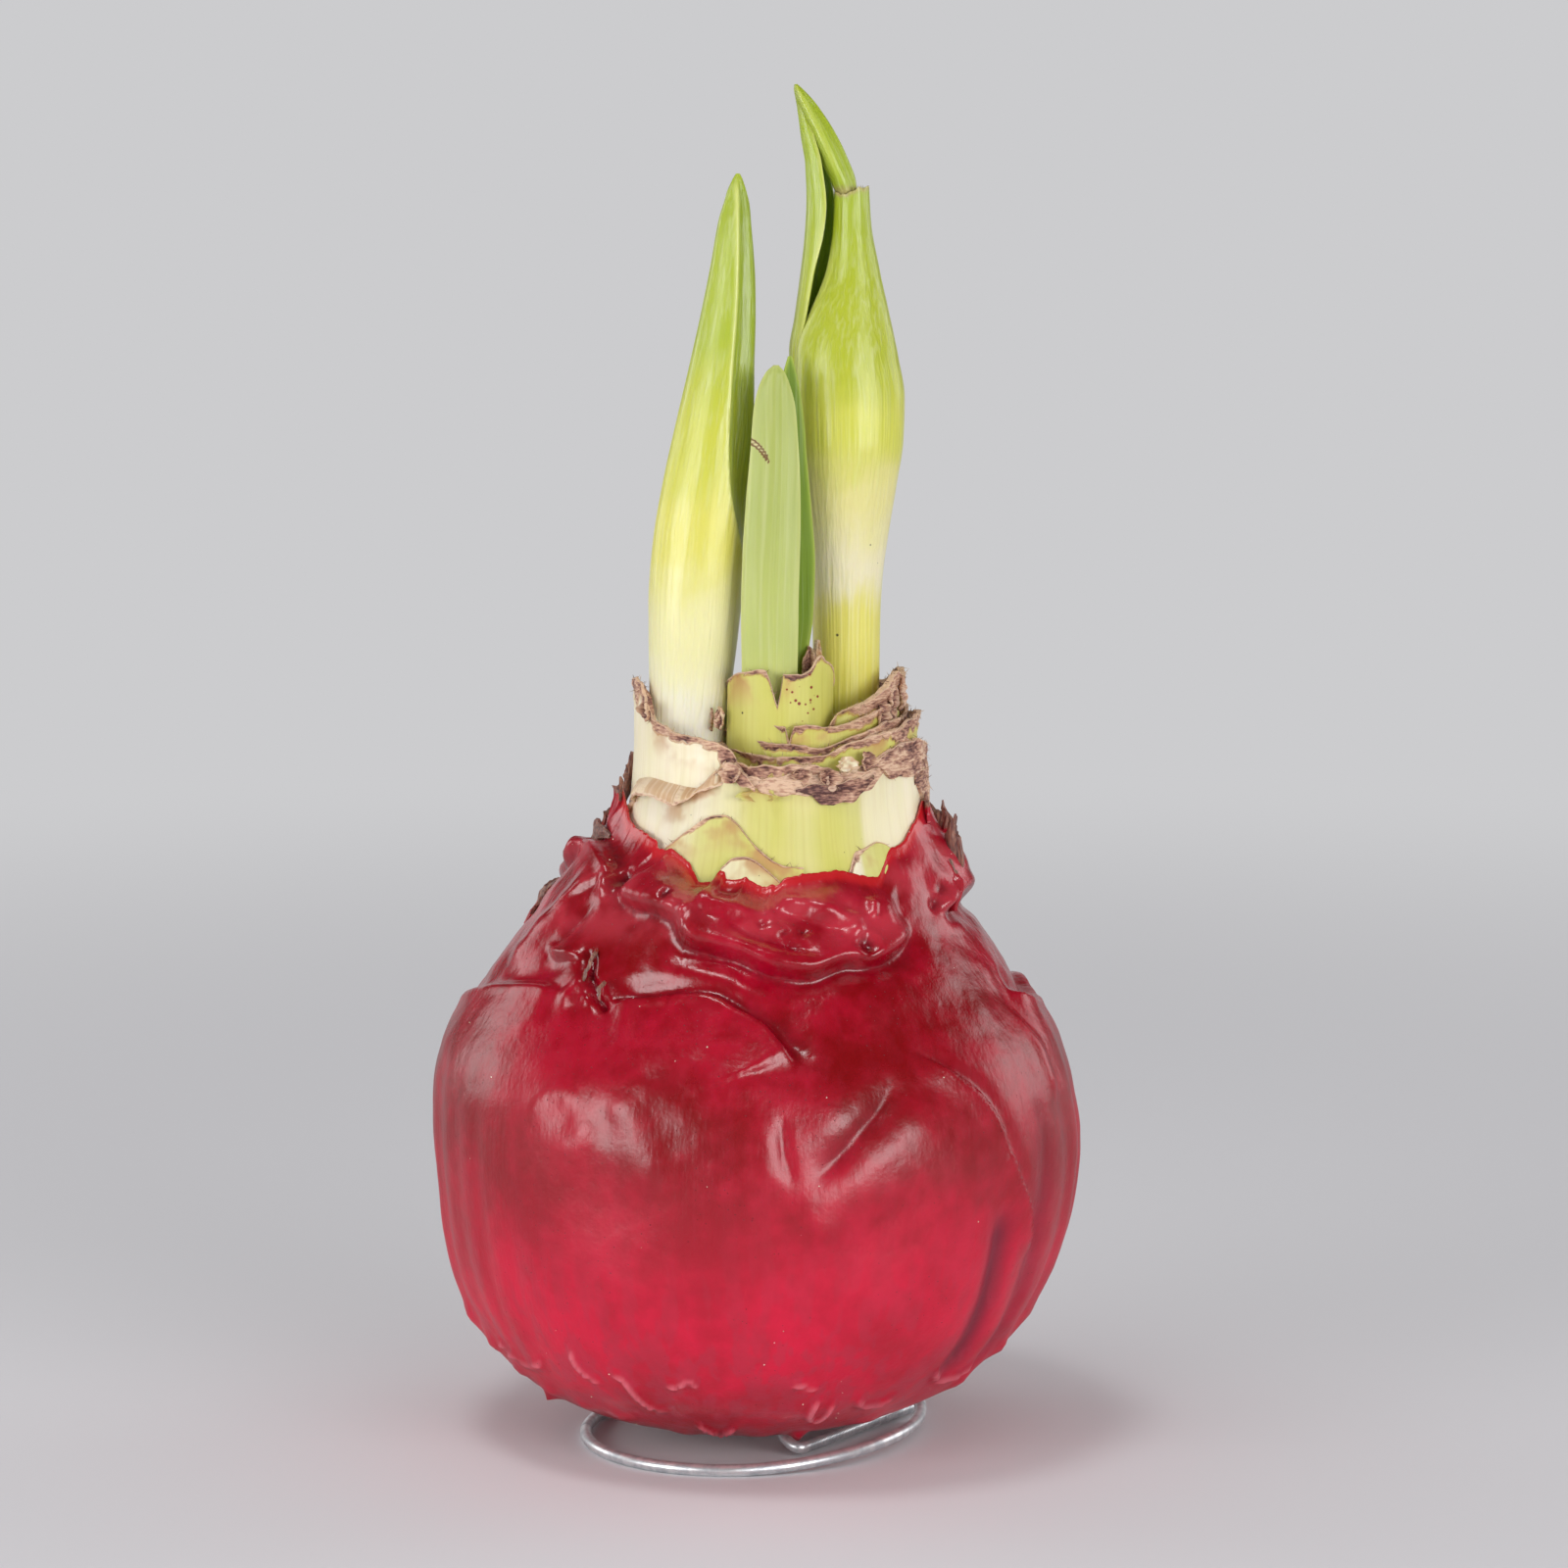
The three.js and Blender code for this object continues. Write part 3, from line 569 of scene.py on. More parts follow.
# ---- the wax
@dataclass
class WaxCoat:
    """The wax: a shell over the bulb with a torn rim round the neck."""

    skin: BulbSkin
    neck: NeckForm
    relief: Relief
    columns: int = 420
    rows: int = 212
    thickness: float = 3.4
    rim_thickness: float = 0.55
    rim_radius: float = 22.6
    # rings that roll over the rim: how far down the outside, and how many rim thicknesses in
    rolled: Path = ((-0.1, 0.5), (0.5, 1.0), (2.5, 2.0), (5.0, 4.6))
    rolled_sink: float = 0.12
    # rings of the inside, as shares of the way up
    inside: tuple[float, ...] = (0.86, 0.7, 0.5, 0.3, 0.12)
    rim: Path = (
        (-180, 88), (-150, 90.5), (-120, 88.5), (-100, 89.5), (-92, 91), (-86, 93.2), (-80, 92.2),
        (-74, 90.8), (-69.4, 89.8), (-62.9, 88.9), (-56.9, 88.6), (-51, 88), (-46.5, 87.7), (-45, 86.9),
        (-41.4, 86.8), (-38.9, 87.1), (-35.3, 86.7), (-30.1, 85.8), (-25.7, 84.7), (-21.9, 83.6),
        (-18.2, 83.6), (-16.6, 85.2), (-14.8, 84.9), (-13.2, 84.1), (-9.4, 84), (-6.7, 84.4), (-4.5, 83.8),
        (0.9, 83.2), (5.2, 83.3), (6.8, 84.1), (11.1, 84.4), (17.2, 84.7), (26.8, 84.6), (30, 84.2),
        (33.6, 83.7), (40, 83.3), (42.6, 84.4), (46.8, 86.3), (52.4, 86.9), (56.6, 87.5), (60.1, 88.5),
        (66.1, 89.6), (74.5, 91.6), (80, 91), (88, 89.4), (98, 88), (124, 90.5), (152, 87), (180, 88),
    )
    seed: int = 5

    def bearings(self) -> Array:
        """Bearings of the columns, closer together in front."""
        even = np.linspace(-180, 180, self.columns, endpoint=False)
        return even - 17 * np.sin(np.radians(even))

    def shares(self) -> Array:
        """Shares of the way up to the rim, closer together on the shoulder."""
        share = np.linspace(0, 1, 400)
        density = 0.55 + 0.5 * smooth(share, 0.3, 0.55) + 0.75 * smooth(share, 0.66, 0.8)
        count = np.concatenate([[0], np.cumsum((density[1:] + density[:-1]) / 2)])
        return np.interp(np.linspace(0, count[-1], self.rows + 1)[1:], count, share)

    def rim_height(self, degrees: Array) -> Array:
        """Height of the torn rim, with its small teeth."""
        noise = Noise(self.seed)
        run = np.radians(degrees) * self.rim_radius
        wide = 0.14 * noise.line(run + 200, 3.1, 2)
        teeth = 0.3 * np.abs(noise.line(run + 300, 0.95, 2))
        return Curve(self.rim)(degrees) + wide + teeth

    def roll(self, outer: Array, to_rim: Array) -> list[Array]:
        """Rings that roll inwards over the rim.

        Args:
            outer: Points of the outside, rings going up.
            to_rim: How far each point is below the rim.

        Returns:
            Rings from the rim downwards.
        """
        axis_x = self.skin.lean(outer[-1, :, 2])
        rings = []
        for down, deep in self.rolled:
            level = np.argmin(np.abs(to_rim - max(down, 0)), axis=0)
            ring = outer[level, np.arange(self.columns)].copy()
            inward = np.stack([ring[:, 0] - axis_x, ring[:, 1], np.zeros(self.columns)], -1)
            inward /= np.linalg.norm(inward, axis=1)[:, None]
            ring -= inward * self.rim_thickness * deep
            ring[:, 2] -= self.rolled_sink if down > 0 else 0
            rings.append(ring[None])
        return rings

    def shape(self) -> Shape:
        """The whole coat: outside, rim and inside."""
        degrees, shares = self.bearings(), self.shares()
        grid = len(shares), self.columns
        rim_run = self.skin.run_at(self.rim_height(degrees))
        turned, run = np.tile(degrees, len(shares)), np.outer(shares, rim_run).ravel()
        lift, slide, shade_crumbs_and_shine, groove_shade = self.relief.at(turned, run)
        to_rim = np.tile(rim_run, len(shares)) - run
        # near the rim the wax leans in to the neck and its relief calms down
        gap = self.skin.radius(run) - self.neck.reach(turned, self.skin.height(run), self.skin)
        noise = Noise(self.seed + 1)
        stand_off = 0.25 + 0.55 * smooth(noise.line(np.radians(turned) * 22, 9, 2), 0.0, 0.9)
        lean_in = np.maximum(gap - self.rim_thickness - stand_off, 0) * (1 - smooth(to_rim, 0.2, 5.2))
        settle = smooth(to_rim, 0, 1.6)
        lift = lift * (0.25 + 0.75 * settle) - lean_in
        outer = self.skin.place(turned, run + slide * settle, lift).reshape(*grid, 3)
        rings = [outer, *self.roll(outer, to_rim.reshape(grid))]
        for share in self.inside:
            ring = self.skin.place(degrees, share * rim_run, np.full(self.columns, -self.thickness))
            rings.append(ring[None])
        within = len(rings) - 1, self.columns
        # the painted shade and highlight marks, the painted groove shade and the thin rim, for the wax
        # finish
        values = (
            ("shade_crumbs_and_shine", np.clip(shade_crumbs_and_shine, -1, 1), 0.0), ("groove_shade", np.clip(groove_shade, 0, 1), 0.0),
            ("thin", 1 - smooth(to_rim, 0.2, 3.4), 1.0))
        return closed_tube(np.concatenate(rings), {
            name: np.concatenate([data.reshape(grid), np.full(within, inner)])
            for name, data, inner in values
        })
# thin curls that the wax left as it ran off underneath
WAX_CURLS = (
    ((-36, 19.9), (-37, 18), (-36, 16), (-33.4, 14.6), (-31, 14.2)),
    ((-30, 16.5), (-26.6, 15.6), (-25, 13.4), (-24, 12), (-21.6, 10.6), (-19.4, 10.4), (-18.6, 11)),
    ((-18, 15.7), (-16, 15), (-14, 15.1), (-12, 15.9), (-10.4, 15.6), (-9.6, 14.4)),
    ((8.6, 14.4), (10, 15.3), (12, 15.4), (14, 14.8), (16.4, 15.2)),
    ((16.4, 13.4), (16, 11), (17, 9), (19, 8.6), (20.2, 9.8), (20, 12.4)),
    ((-66, 17), (-61, 15.4), (-56, 14.6), (-50, 15), (-47, 16.4)),
    ((-13, 8.2), (-10, 6.4), (-7, 5.6), (-4, 6.4), (-2, 7.6)),
    ((26, 12.5), (29, 10.6), (34, 10.2), (38, 11.6)),
    ((44, 15), (49, 12.6), (55, 12.4), (60, 14.6)),
    ((90, 16), (98, 13.6), (106, 14), (112, 16.4)),
    ((-150, 15), (-141, 12.8), (-133, 13.4), (-127, 16)),
)


WAX_STROKES = (
    # the collar's rolled lower lip, the fold above it and its crests
    Stroke(Form.LIP, ((-49, 82), (-44, 80.8), (-35, 79.8), (-27, 79.1), (-21, 78.1), (-17, 75.9),
        (-10, 75.2), (-3, 74.4), (3, 73), (9, 72.2), (15, 72), (19, 72.6), (23, 73.1), (27, 72.9),
        (32, 73.1), (39, 74.3), (48, 76.4)),
        1.6, 0.8, fade=6.5, valley=0.95, droop=0.7, shade_crumbs_and_shine=0.55, taper=5),
    Stroke(Form.CREASE, ((-8, 78), (-3, 76.9), (2, 76.1), (7, 75.3), (12, 74.5), (17, 73.2)),
        1.25, 0.75, shade_crumbs_and_shine=0.25, taper=5),
    Stroke(Form.RIDGE, ((2, 81.5), (7, 81.1), (12, 80.3), (20, 78.9), (27, 77.9), (33, 78.9)), 0.95, 1.3),
    Stroke(Form.CREASE, ((3, 79.8), (9, 79.3), (15, 78.2), (22, 77), (27, 76.6)), 0.75, 1.1),
    Stroke(Form.RIDGE, ((-18, 81.7), (-12, 80.3), (-6, 79.5), (1, 79.2)), 0.85, 1.2),
    Stroke(Form.CREASE, ((-20, 80), (-14, 78.6), (-9, 77.8)), 0.6, 0.9),
    Stroke(Form.RIDGE, ((34, 80.8), (33.6, 79), (32.5, 77.2)), 0.7, 0.7, taper=1.5),
    Stroke(Form.CREASE, ((-30, 83.5), (-20, 82.9), (-10, 82.2), (-2, 82)), 0.4, 0.8),
    # the outer layer on the left, whose torn upper edge ends in a rolled corner
    Stroke(Form.LEDGE, ((-98, 84.2), (-88, 84.8), (-76, 85.5), (-68, 85), (-60.5, 84), (-56, 83.3),
        (-52.6, 82.4)), 1.5, 0.6, fade=6.5, valley=0.6, droop=0.3, shade_crumbs_and_shine=0.6, taper=2),
    Stroke(Form.RIDGE, ((-61, 83), (-63, 80), (-66, 76), (-70, 72), (-74, 68.5)), 1.0, 2.6),
    Stroke(Form.CREASE, ((-51, 80.4), (-53, 78), (-56, 74), (-60, 71)), 0.8, 1.7, shade_crumbs_and_shine=0.2),
    Stroke(Form.CREASE, ((-53, 85.4), (-48.6, 82.6), (-42, 80.4)), 1.2, 1.0, shade_crumbs_and_shine=0.5),
    Stroke(Form.RIDGE, ((-40, 88), (-37, 86), (-33, 84.2), (-27, 83.4)), 0.8, 1.2),
    Stroke(Form.CREASE, ((-36, 85.4), (-33, 83.6), (-31, 81.6)), 0.5, 0.8),
    # the lower layer's torn edge across the shoulder
    Stroke(Form.LEDGE, ((-33, 67.6), (-27, 68.2), (-21, 68.5), (-15, 68.8), (-8, 68.6), (-2, 66.8),
        (3, 65.3), (6, 63.1), (8, 61.4), (9, 59.5)),
        1.25, 0.6, fade=8, valley=0.85, droop=0.45, shade_crumbs_and_shine=0.5),
    Stroke(Form.LEDGE, ((-100, 62), (-93, 63), (-75, 66), (-63, 67.5), (-51, 68.2), (-44, 67.6)),
        0.75, 0.8, fade=6, valley=0.4, shade_crumbs_and_shine=0.1),
    Stroke(Form.CREASE, ((-45, 73.5), (-42, 72.2), (-40, 70.4), (-37, 68.9), (-36, 67.9), (-34, 67.4),
        (-32, 65.9)), 1.3, 0.62, shade_crumbs_and_shine=0.8, taper=2),
    Stroke(Form.LIP, ((-62, 72.8), (-54, 71.8), (-47, 71.9), (-42, 72.6)),
        0.9, 0.5, fade=3.5, valley=0.5, shade_crumbs_and_shine=0.2),
    # the pressed angle on the front
    Stroke(Form.CREASE, ((5.9, 55.4), (5.5, 53), (5.4, 50.4), (5.8, 47.5), (6.7, 45.4), (8, 44.2)),
        0.55, 0.8, shade_crumbs_and_shine=0.3, taper=5),
    Stroke(Form.CREASE, ((7.6, 44), (11.6, 46.2), (15.6, 48.9), (18.8, 51.3), (22.9, 53.8), (26, 56.6),
        (27, 60)), 1.15, 1.7, shade_crumbs_and_shine=0.35, taper=8),
    Stroke(Form.RIDGE, ((3.2, 55), (2.4, 50), (2.2, 46), (3.4, 41)), 0.35, 2.4, taper=6),
    Stroke(Form.RIDGE, ((2, 38), (8, 39.6), (15, 42.4), (20.6, 45), (26, 48.4), (30.4, 52.6), (33, 57)),
        0.75, 5.0, taper=7),
    # the crisp edge of skin that runs down on the right
    Stroke(Form.LEDGE, ((32, 61), (36.5, 59.6), (40.8, 57.4), (45.2, 54.4), (47.8, 51.3), (49.2, 47.6),
        (52.4, 42.4), (56, 38), (59, 33), (60, 28)),
        0.85, 0.36, fade=3.2, valley=0.35, shade_crumbs_and_shine=0.16, taper=6),
    Stroke(Form.RIDGE, ((69, 64.3), (69, 59.6), (69, 55), (71, 50.6)), 0.7, 1.3),
    # the ring of the dimple on the front left
    Stroke(Form.RIDGE, ((-40.6, 50.6), (-41, 52.6), (-39.6, 54.8), (-36.6, 55.8), (-33, 55.4),
        (-30, 54.2)), 0.32, 1.6),
    # the curls, each with a painted highlight along it
    *(Stroke(Form.RIDGE, path, 0.8, 0.52, shade_crumbs_and_shine=-0.9, taper=2.2) for path in WAX_CURLS),
    # folds of the collar and shoulder behind
    Stroke(Form.LIP, ((60, 77.2), (80, 78.6), (98, 77.2), (116, 78.4), (131, 76.2), (150, 77.6),
        (176, 79.4)), 1.5, 0.7, fade=6, valley=0.7, droop=0.6, shade_crumbs_and_shine=0.45),
    Stroke(Form.LIP, ((-178, 79.4), (-160, 77.4), (-142, 78.8), (-122, 77), (-104, 79.4), (-92, 82),
        (-84, 85)), 1.5, 0.7, fade=6, valley=0.7, droop=0.6, shade_crumbs_and_shine=0.45),
    Stroke(Form.LEDGE, ((72, 66), (90, 62.4), (108, 64), (126, 61), (146, 62.6), (168, 59.6)),
        1.1, 0.7, fade=8, valley=0.6, shade_crumbs_and_shine=0.3),
    Stroke(Form.LEDGE, ((-172, 60.5), (-156, 63.6), (-140, 65), (-122, 63), (-108, 64.2)),
        1.0, 0.7, fade=8, valley=0.6, shade_crumbs_and_shine=0.3),
    Stroke(Form.CREASE, ((118, 52), (126, 44), (129, 34)), 1.1, 1.4),
    Stroke(Form.CREASE, ((-150, 56), (-143, 47), (-147, 38)), 1.0, 1.5),
    Stroke(Form.LEDGE, ((-128, 56), (-120, 50), (-117, 42), (-121, 34)), 0.5, 0.35, fade=3, valley=0.3),
    Stroke(Form.CREASE, ((160, 72), (166, 66), (163, 58)), 0.9, 1.2, shade_crumbs_and_shine=0.2),
)

WAX_KNOBS = tuple(Knob(*row) for row in (
    # pits and knobs of the collar
    (29, 74.4, -1.4, 1.25, 1.0), (27.4, 76.2, 0.7, 1.1), (31.6, 75.2, 0.5, 1.0),
    (2, 77.7, -0.6, 0.75, 0.6), (8, 76.5, -0.45, 0.7, 0.5), (13, 76.5, -0.5, 0.7, 0.6),
    (-26, 80.4, -0.9, 0.9, 1.0), (-18.6, 78.7, 1.0, 0.9), (61, 78.4, -0.6, 1.3, 0.8),
    (65, 80, -0.6, 1.2, 0.9), (20, 80.6, 0.5, 2.4), (14, 79.6, -0.5, 1.5), (38, 79, 0.6, 2.2),
    (46, 81.4, -0.5, 2.0), (-12, 82, -0.4, 1.8),
    # the shoulder
    (-24, 79.5, 1.7, 6), (-25, 68, -1.6, 7), (-43, 67.4, 0.9, 1.6), (-41, 69.2, 1.0, 1.6),
    (-37.4, 67.6, 0.7, 1.0), (-47, 70.5, 0.9, 2.4), (30, 68, 0.7, 5), (9, 67.4, -0.5, 4),
    # the dimple and its neighbours
    (-26, 52, -0.42, 2.8), (-34, 51.5, -0.25, 2.4), (-13, 50.4, -0.22, 2.8), (-16, 53.1, -0.2, 2.4),
    (-33, 48.8, 0.35, 2.8), (-22.6, 54.6, 0.3, 2.2), (-18, 46.4, 0.35, 3), (-29.6, 51, 0.2, 1.8),
    (-19, 57.8, 0.3, 2.6), (-10, 60.5, 0.3, 2.2), (-1, 58.3, 0.3, 2.4), (-22, 50, 0.5, 7),
    (-27, 43, -0.5, 6), (17, 51, 0.4, 4), (36, 47, 0.8, 8), (12, 38.5, 0.3, 2.2), (49, 45.6, 0.45, 0.6),
    (86, 82, 1.6, 5), (14.5, 55.5, 0.45, 4.2),
    # the rolled corner and its hollow
    (-53.4, 81.6, 1.7, 1.15), (-51.2, 80.6, 1.1, 1.0), (-48.4, 82.6, -0.9, 0.95, 1.0),
    # beads and drips where the wax ran off
    (-70, 15.5, 0.8, 1.9), (-63, 12.6, 0.7, 1.7), (-78, 18.5, 0.6, 1.9), (-55, 10.5, 0.8, 2.0),
    (-46, 8.8, 0.6, 1.8), (-36, 7.6, 0.5, 1.8), (-62, 8.6, 1.2, 1.0), (20, 4.6, 1.2, 1.0),
    (64, 10.6, 0.6, 2.0), (73, 14.5, 0.7, 1.7), (82, 18.5, 0.5, 1.8), (-20, 5, 0.5, 2.2),
    (6, 4.8, 0.4, 2.4), (40, 6.4, 0.5, 2.0), (118, 11, 0.7, 1.8), (-112, 12, 0.7, 1.8),
    # behind
    (140, 48, -0.8, 8), (-140, 40, 0.9, 9), (112, 70, 0.9, 5), (-112, 72, 0.9, 5), (175, 46, 0.7, 9),
    (98, 40, 0.6, 7), (-98, 50, -0.5, 6),
))

WAX_FLUTES = tuple(Flute(*row) for row in (
    (48.5, 0.9, 2.6, (10, 16, 34, 40), 1.0), (63, 0.9, 2.8, (10, 16, 38, 60), 0.7),
    (75, 0.8, 2.4), (84, 0.6, 2.0), (98, 0.7), (-48, 0.35, 2.4, (10, 16, 30, 38)),
    (-56, 0.3, 1.8), (-64, 0.35, 2.2), (-74, 0.5, 2.6), (-84, 0.45, 2.2),
    (-95, 0.6), (-108, 0.7), (128, 0.6), (150, 0.7, 3.6, (8, 22, 46, 62), 0.4),
    (-136, 0.6, 3.6, (8, 22, 46, 62), 0.5), (-164, 0.5), (171, 0.6),
))


@dataclass(frozen=True)
class TornFlap:
    """A torn strip of dry skin along a spine of bearings, heights and lifts."""

    spine: tuple[Triple, ...]
    half_width: float
    tilt: float = 0.0
    curl: float = 0.6
    dry: float = 0.0


@dataclass
class TornTunics:
    """The dry papery strips round the collar and shoulder."""

    skin: BulbSkin
    flaps: tuple[TornFlap, ...] = (
        TornFlap(((-84, 89, -0.5), (-84, 91.4, -0.8), (-83, 93.2, -0.9), (-82, 94.6, -0.5)),
            1.7, 10, 0.7, 0.4),
        TornFlap(((-101, 89, -1.2), (-100, 93, -1.6), (-99, 97.4, -1.7)), 1.9, curl=0.3),
        TornFlap(((-104, 84, 0.5), (-95, 85.6, 0.7), (-85, 86.8, 0.3), (-74, 87, -0.5)), 1.8, -12, 0.4),
        TornFlap(((-96, 72.6, -0.4), (-95, 75, 0.1), (-94, 77.4, 0.3), (-93, 79.6, 0.2)),
            1.2, 8, 0.3, 0.3),
        TornFlap(((-41.2, 73.4, 0.0), (-40.4, 72, 0.5), (-40, 70.6, 0.5), (-40.2, 69.4, 0.1)),
            0.36, 35, 0.15),
        TornFlap(((-34.6, 69.8, 0.0), (-34, 68.6, 0.7), (-33.6, 67.4, 0.7)), 0.5, 20, 0.2),
        TornFlap(((80, 78.6, -0.6), (80, 81.4, 0.5), (79, 84.2, 1.5), (78, 86.6, 2.6), (78, 88, 3.2)),
            1.4, 62, 0.5, 0.3),
        TornFlap(((71, 76.8, -0.4), (72.5, 79.8, 0.9), (74, 82.6, 1.3)), 1.3, 55, 0.5, 0.92),
        TornFlap(((90, 86, 0.6), (89, 88.4, 1.2), (88, 90.4, 1.5)), 1.0, 10, 0.3, 0.2),
        TornFlap(((72, 88.6, 0.0), (73, 90.6, -0.2), (74, 92.8, -0.4)), 1.2, 20, 0.3, 0.55),
        TornFlap(((104, 82, 0.0), (112, 85.4, 1.4), (118, 88.4, 1.8)), 2.8, 10, 0.9, 0.35),
        TornFlap(((160, 78, 0.0), (156, 82.6, 1.7), (150, 86.4, 2.4)), 4.0, 12, 1.1, 0.35),
        TornFlap(((-158, 81, 0.0), (-156, 85.4, 1.6), (-150, 88.6, 2.2)), 4.0, -14, 1.0, 0.4),
        TornFlap(((-110, 82.6, 0.0), (-112, 86, 1.0), (-115, 89, 1.4)), 2.8, 20, 0.8, 0.4),
    )
    rows: int = 24
    columns: int = 26

    def one(self, flap: TornFlap, seed: int) -> Shape:
        """Builds one strip, rooted in the wax.

        Args:
            flap: The strip.
            seed: Fixes its tears.

        Returns:
            Its closed shape.
        """
        noise = Noise(seed)
        u, v = np.linspace(-1, 1, self.columns), np.linspace(0, 1, self.rows)
        across, along = np.meshgrid(u, v)
        spine = np.array(flap.spine)
        mark = np.linspace(0, 1, len(spine))
        degrees, height, lift = (Curve(list(zip(mark, spine[:, i])))(v) for i in range(3))
        centre = self.skin.place(degrees, self.skin.run_at(height), lift)
        length = travelled(centre)[-1]
        way = np.gradient(centre, axis=0)
        way /= np.linalg.norm(way, axis=1)[:, None]
        turn = np.radians(degrees)
        outward = np.stack([np.sin(turn), -np.cos(turn), 0 * turn], -1)
        outward -= way * np.sum(way * outward, axis=1)[:, None]
        outward /= np.linalg.norm(outward, axis=1)[:, None]
        side = np.cross(outward, way)
        tilt = math.radians(flap.tilt)
        side, face = (side * math.cos(tilt) + outward * math.sin(tilt),
                      outward * math.cos(tilt) - side * math.sin(tilt))
        taper = (0.55 + 0.45 * smooth(along, 0, 0.3)) * (1 - 0.6 * smooth(along, 0.55, 1.0))
        ragged = 1 + 0.2 * noise.at(np.stack([along * length * 0.8, np.sign(across), 0 * along], -1), 1.3)
        sway = 0.25 * noise.line(v * length, 2.0, 2)[:, None]
        reach = across * flap.half_width * taper * ragged + sway
        torn = 0.2 * noise.line(u * flap.half_width * 2.5 + 30, 1.4, 3) - 0.3 * np.abs(u) ** 2.4
        slip = smooth(along, 0.5, 1.0) * torn[None, :] * length * 0.6
        at = np.stack([across * flap.half_width, along * length * 0.7, 0 * across + 3], -1)
        crumple = noise.fractal(at, 1.3, 3)
        out = flap.curl * (across**2 - 0.3) * (0.3 + along) + 0.42 * crumple * smooth(along, 0.05, 0.5)
        middle = centre[:, None] + side[:, None] * reach[..., None] + way[:, None] * slip[..., None]
        middle = middle + face[:, None] * out[..., None]
        thick = (0.5 - 0.24 * along)[..., None] * face[:, None] / 2
        dry = smooth(along + 0.16 * crumple, flap.dry - 0.12, flap.dry + 0.16)
        return closed_sheet(middle - thick, middle + thick, {"dry": dry, "thin": 0.3 * np.abs(across)})

    def shape(self) -> Shape:
        """All the strips in one."""
        return join_all([self.one(flap, 60 + i) for i, flap in enumerate(self.flaps)])


# ---- the neck
@dataclass(frozen=True)
class NeckScale:
    """One cut scale of the neck: a wall on an oval, from its foot to its torn edge.

    Its edge is given as heights, its dried rim as depths and its green as shares, by bearing.
    A tone over 0 is paler. The hem is how ragged its foot is.
    """

    middle: Pair
    half: Pair
    edge: Path
    dried: Path
    green: Path
    foot: float = 86.0
    wall: float = 1.3
    spreads: bool = False
    curl: float = 0.3
    wrinkle: float = 0.22
    hem: float = 0.0
    tone: float = 0.0


def peel(edge: Path, foot: float, proud: float, *folds: float) -> NeckScale:
    """A dried strip over the front scale.

    Args:
        edge: Its upper edge, heights by bearing.
        foot: The height of its lower edge.
        proud: How far it stands off the front scale.
        *folds: Its curl, wrinkle, hem and tone.

    Returns:
        The strip.
    """
    ends = (edge[0][0], edge[-1][0])
    dried, green = [tuple((d, value) for d in ends) for value in (9, 0)]
    return NeckScale(
        (2.9, 0.5), (20.6 + proud, 17.9 + proud), edge, dried, green, foot, 0.5, True, *folds)


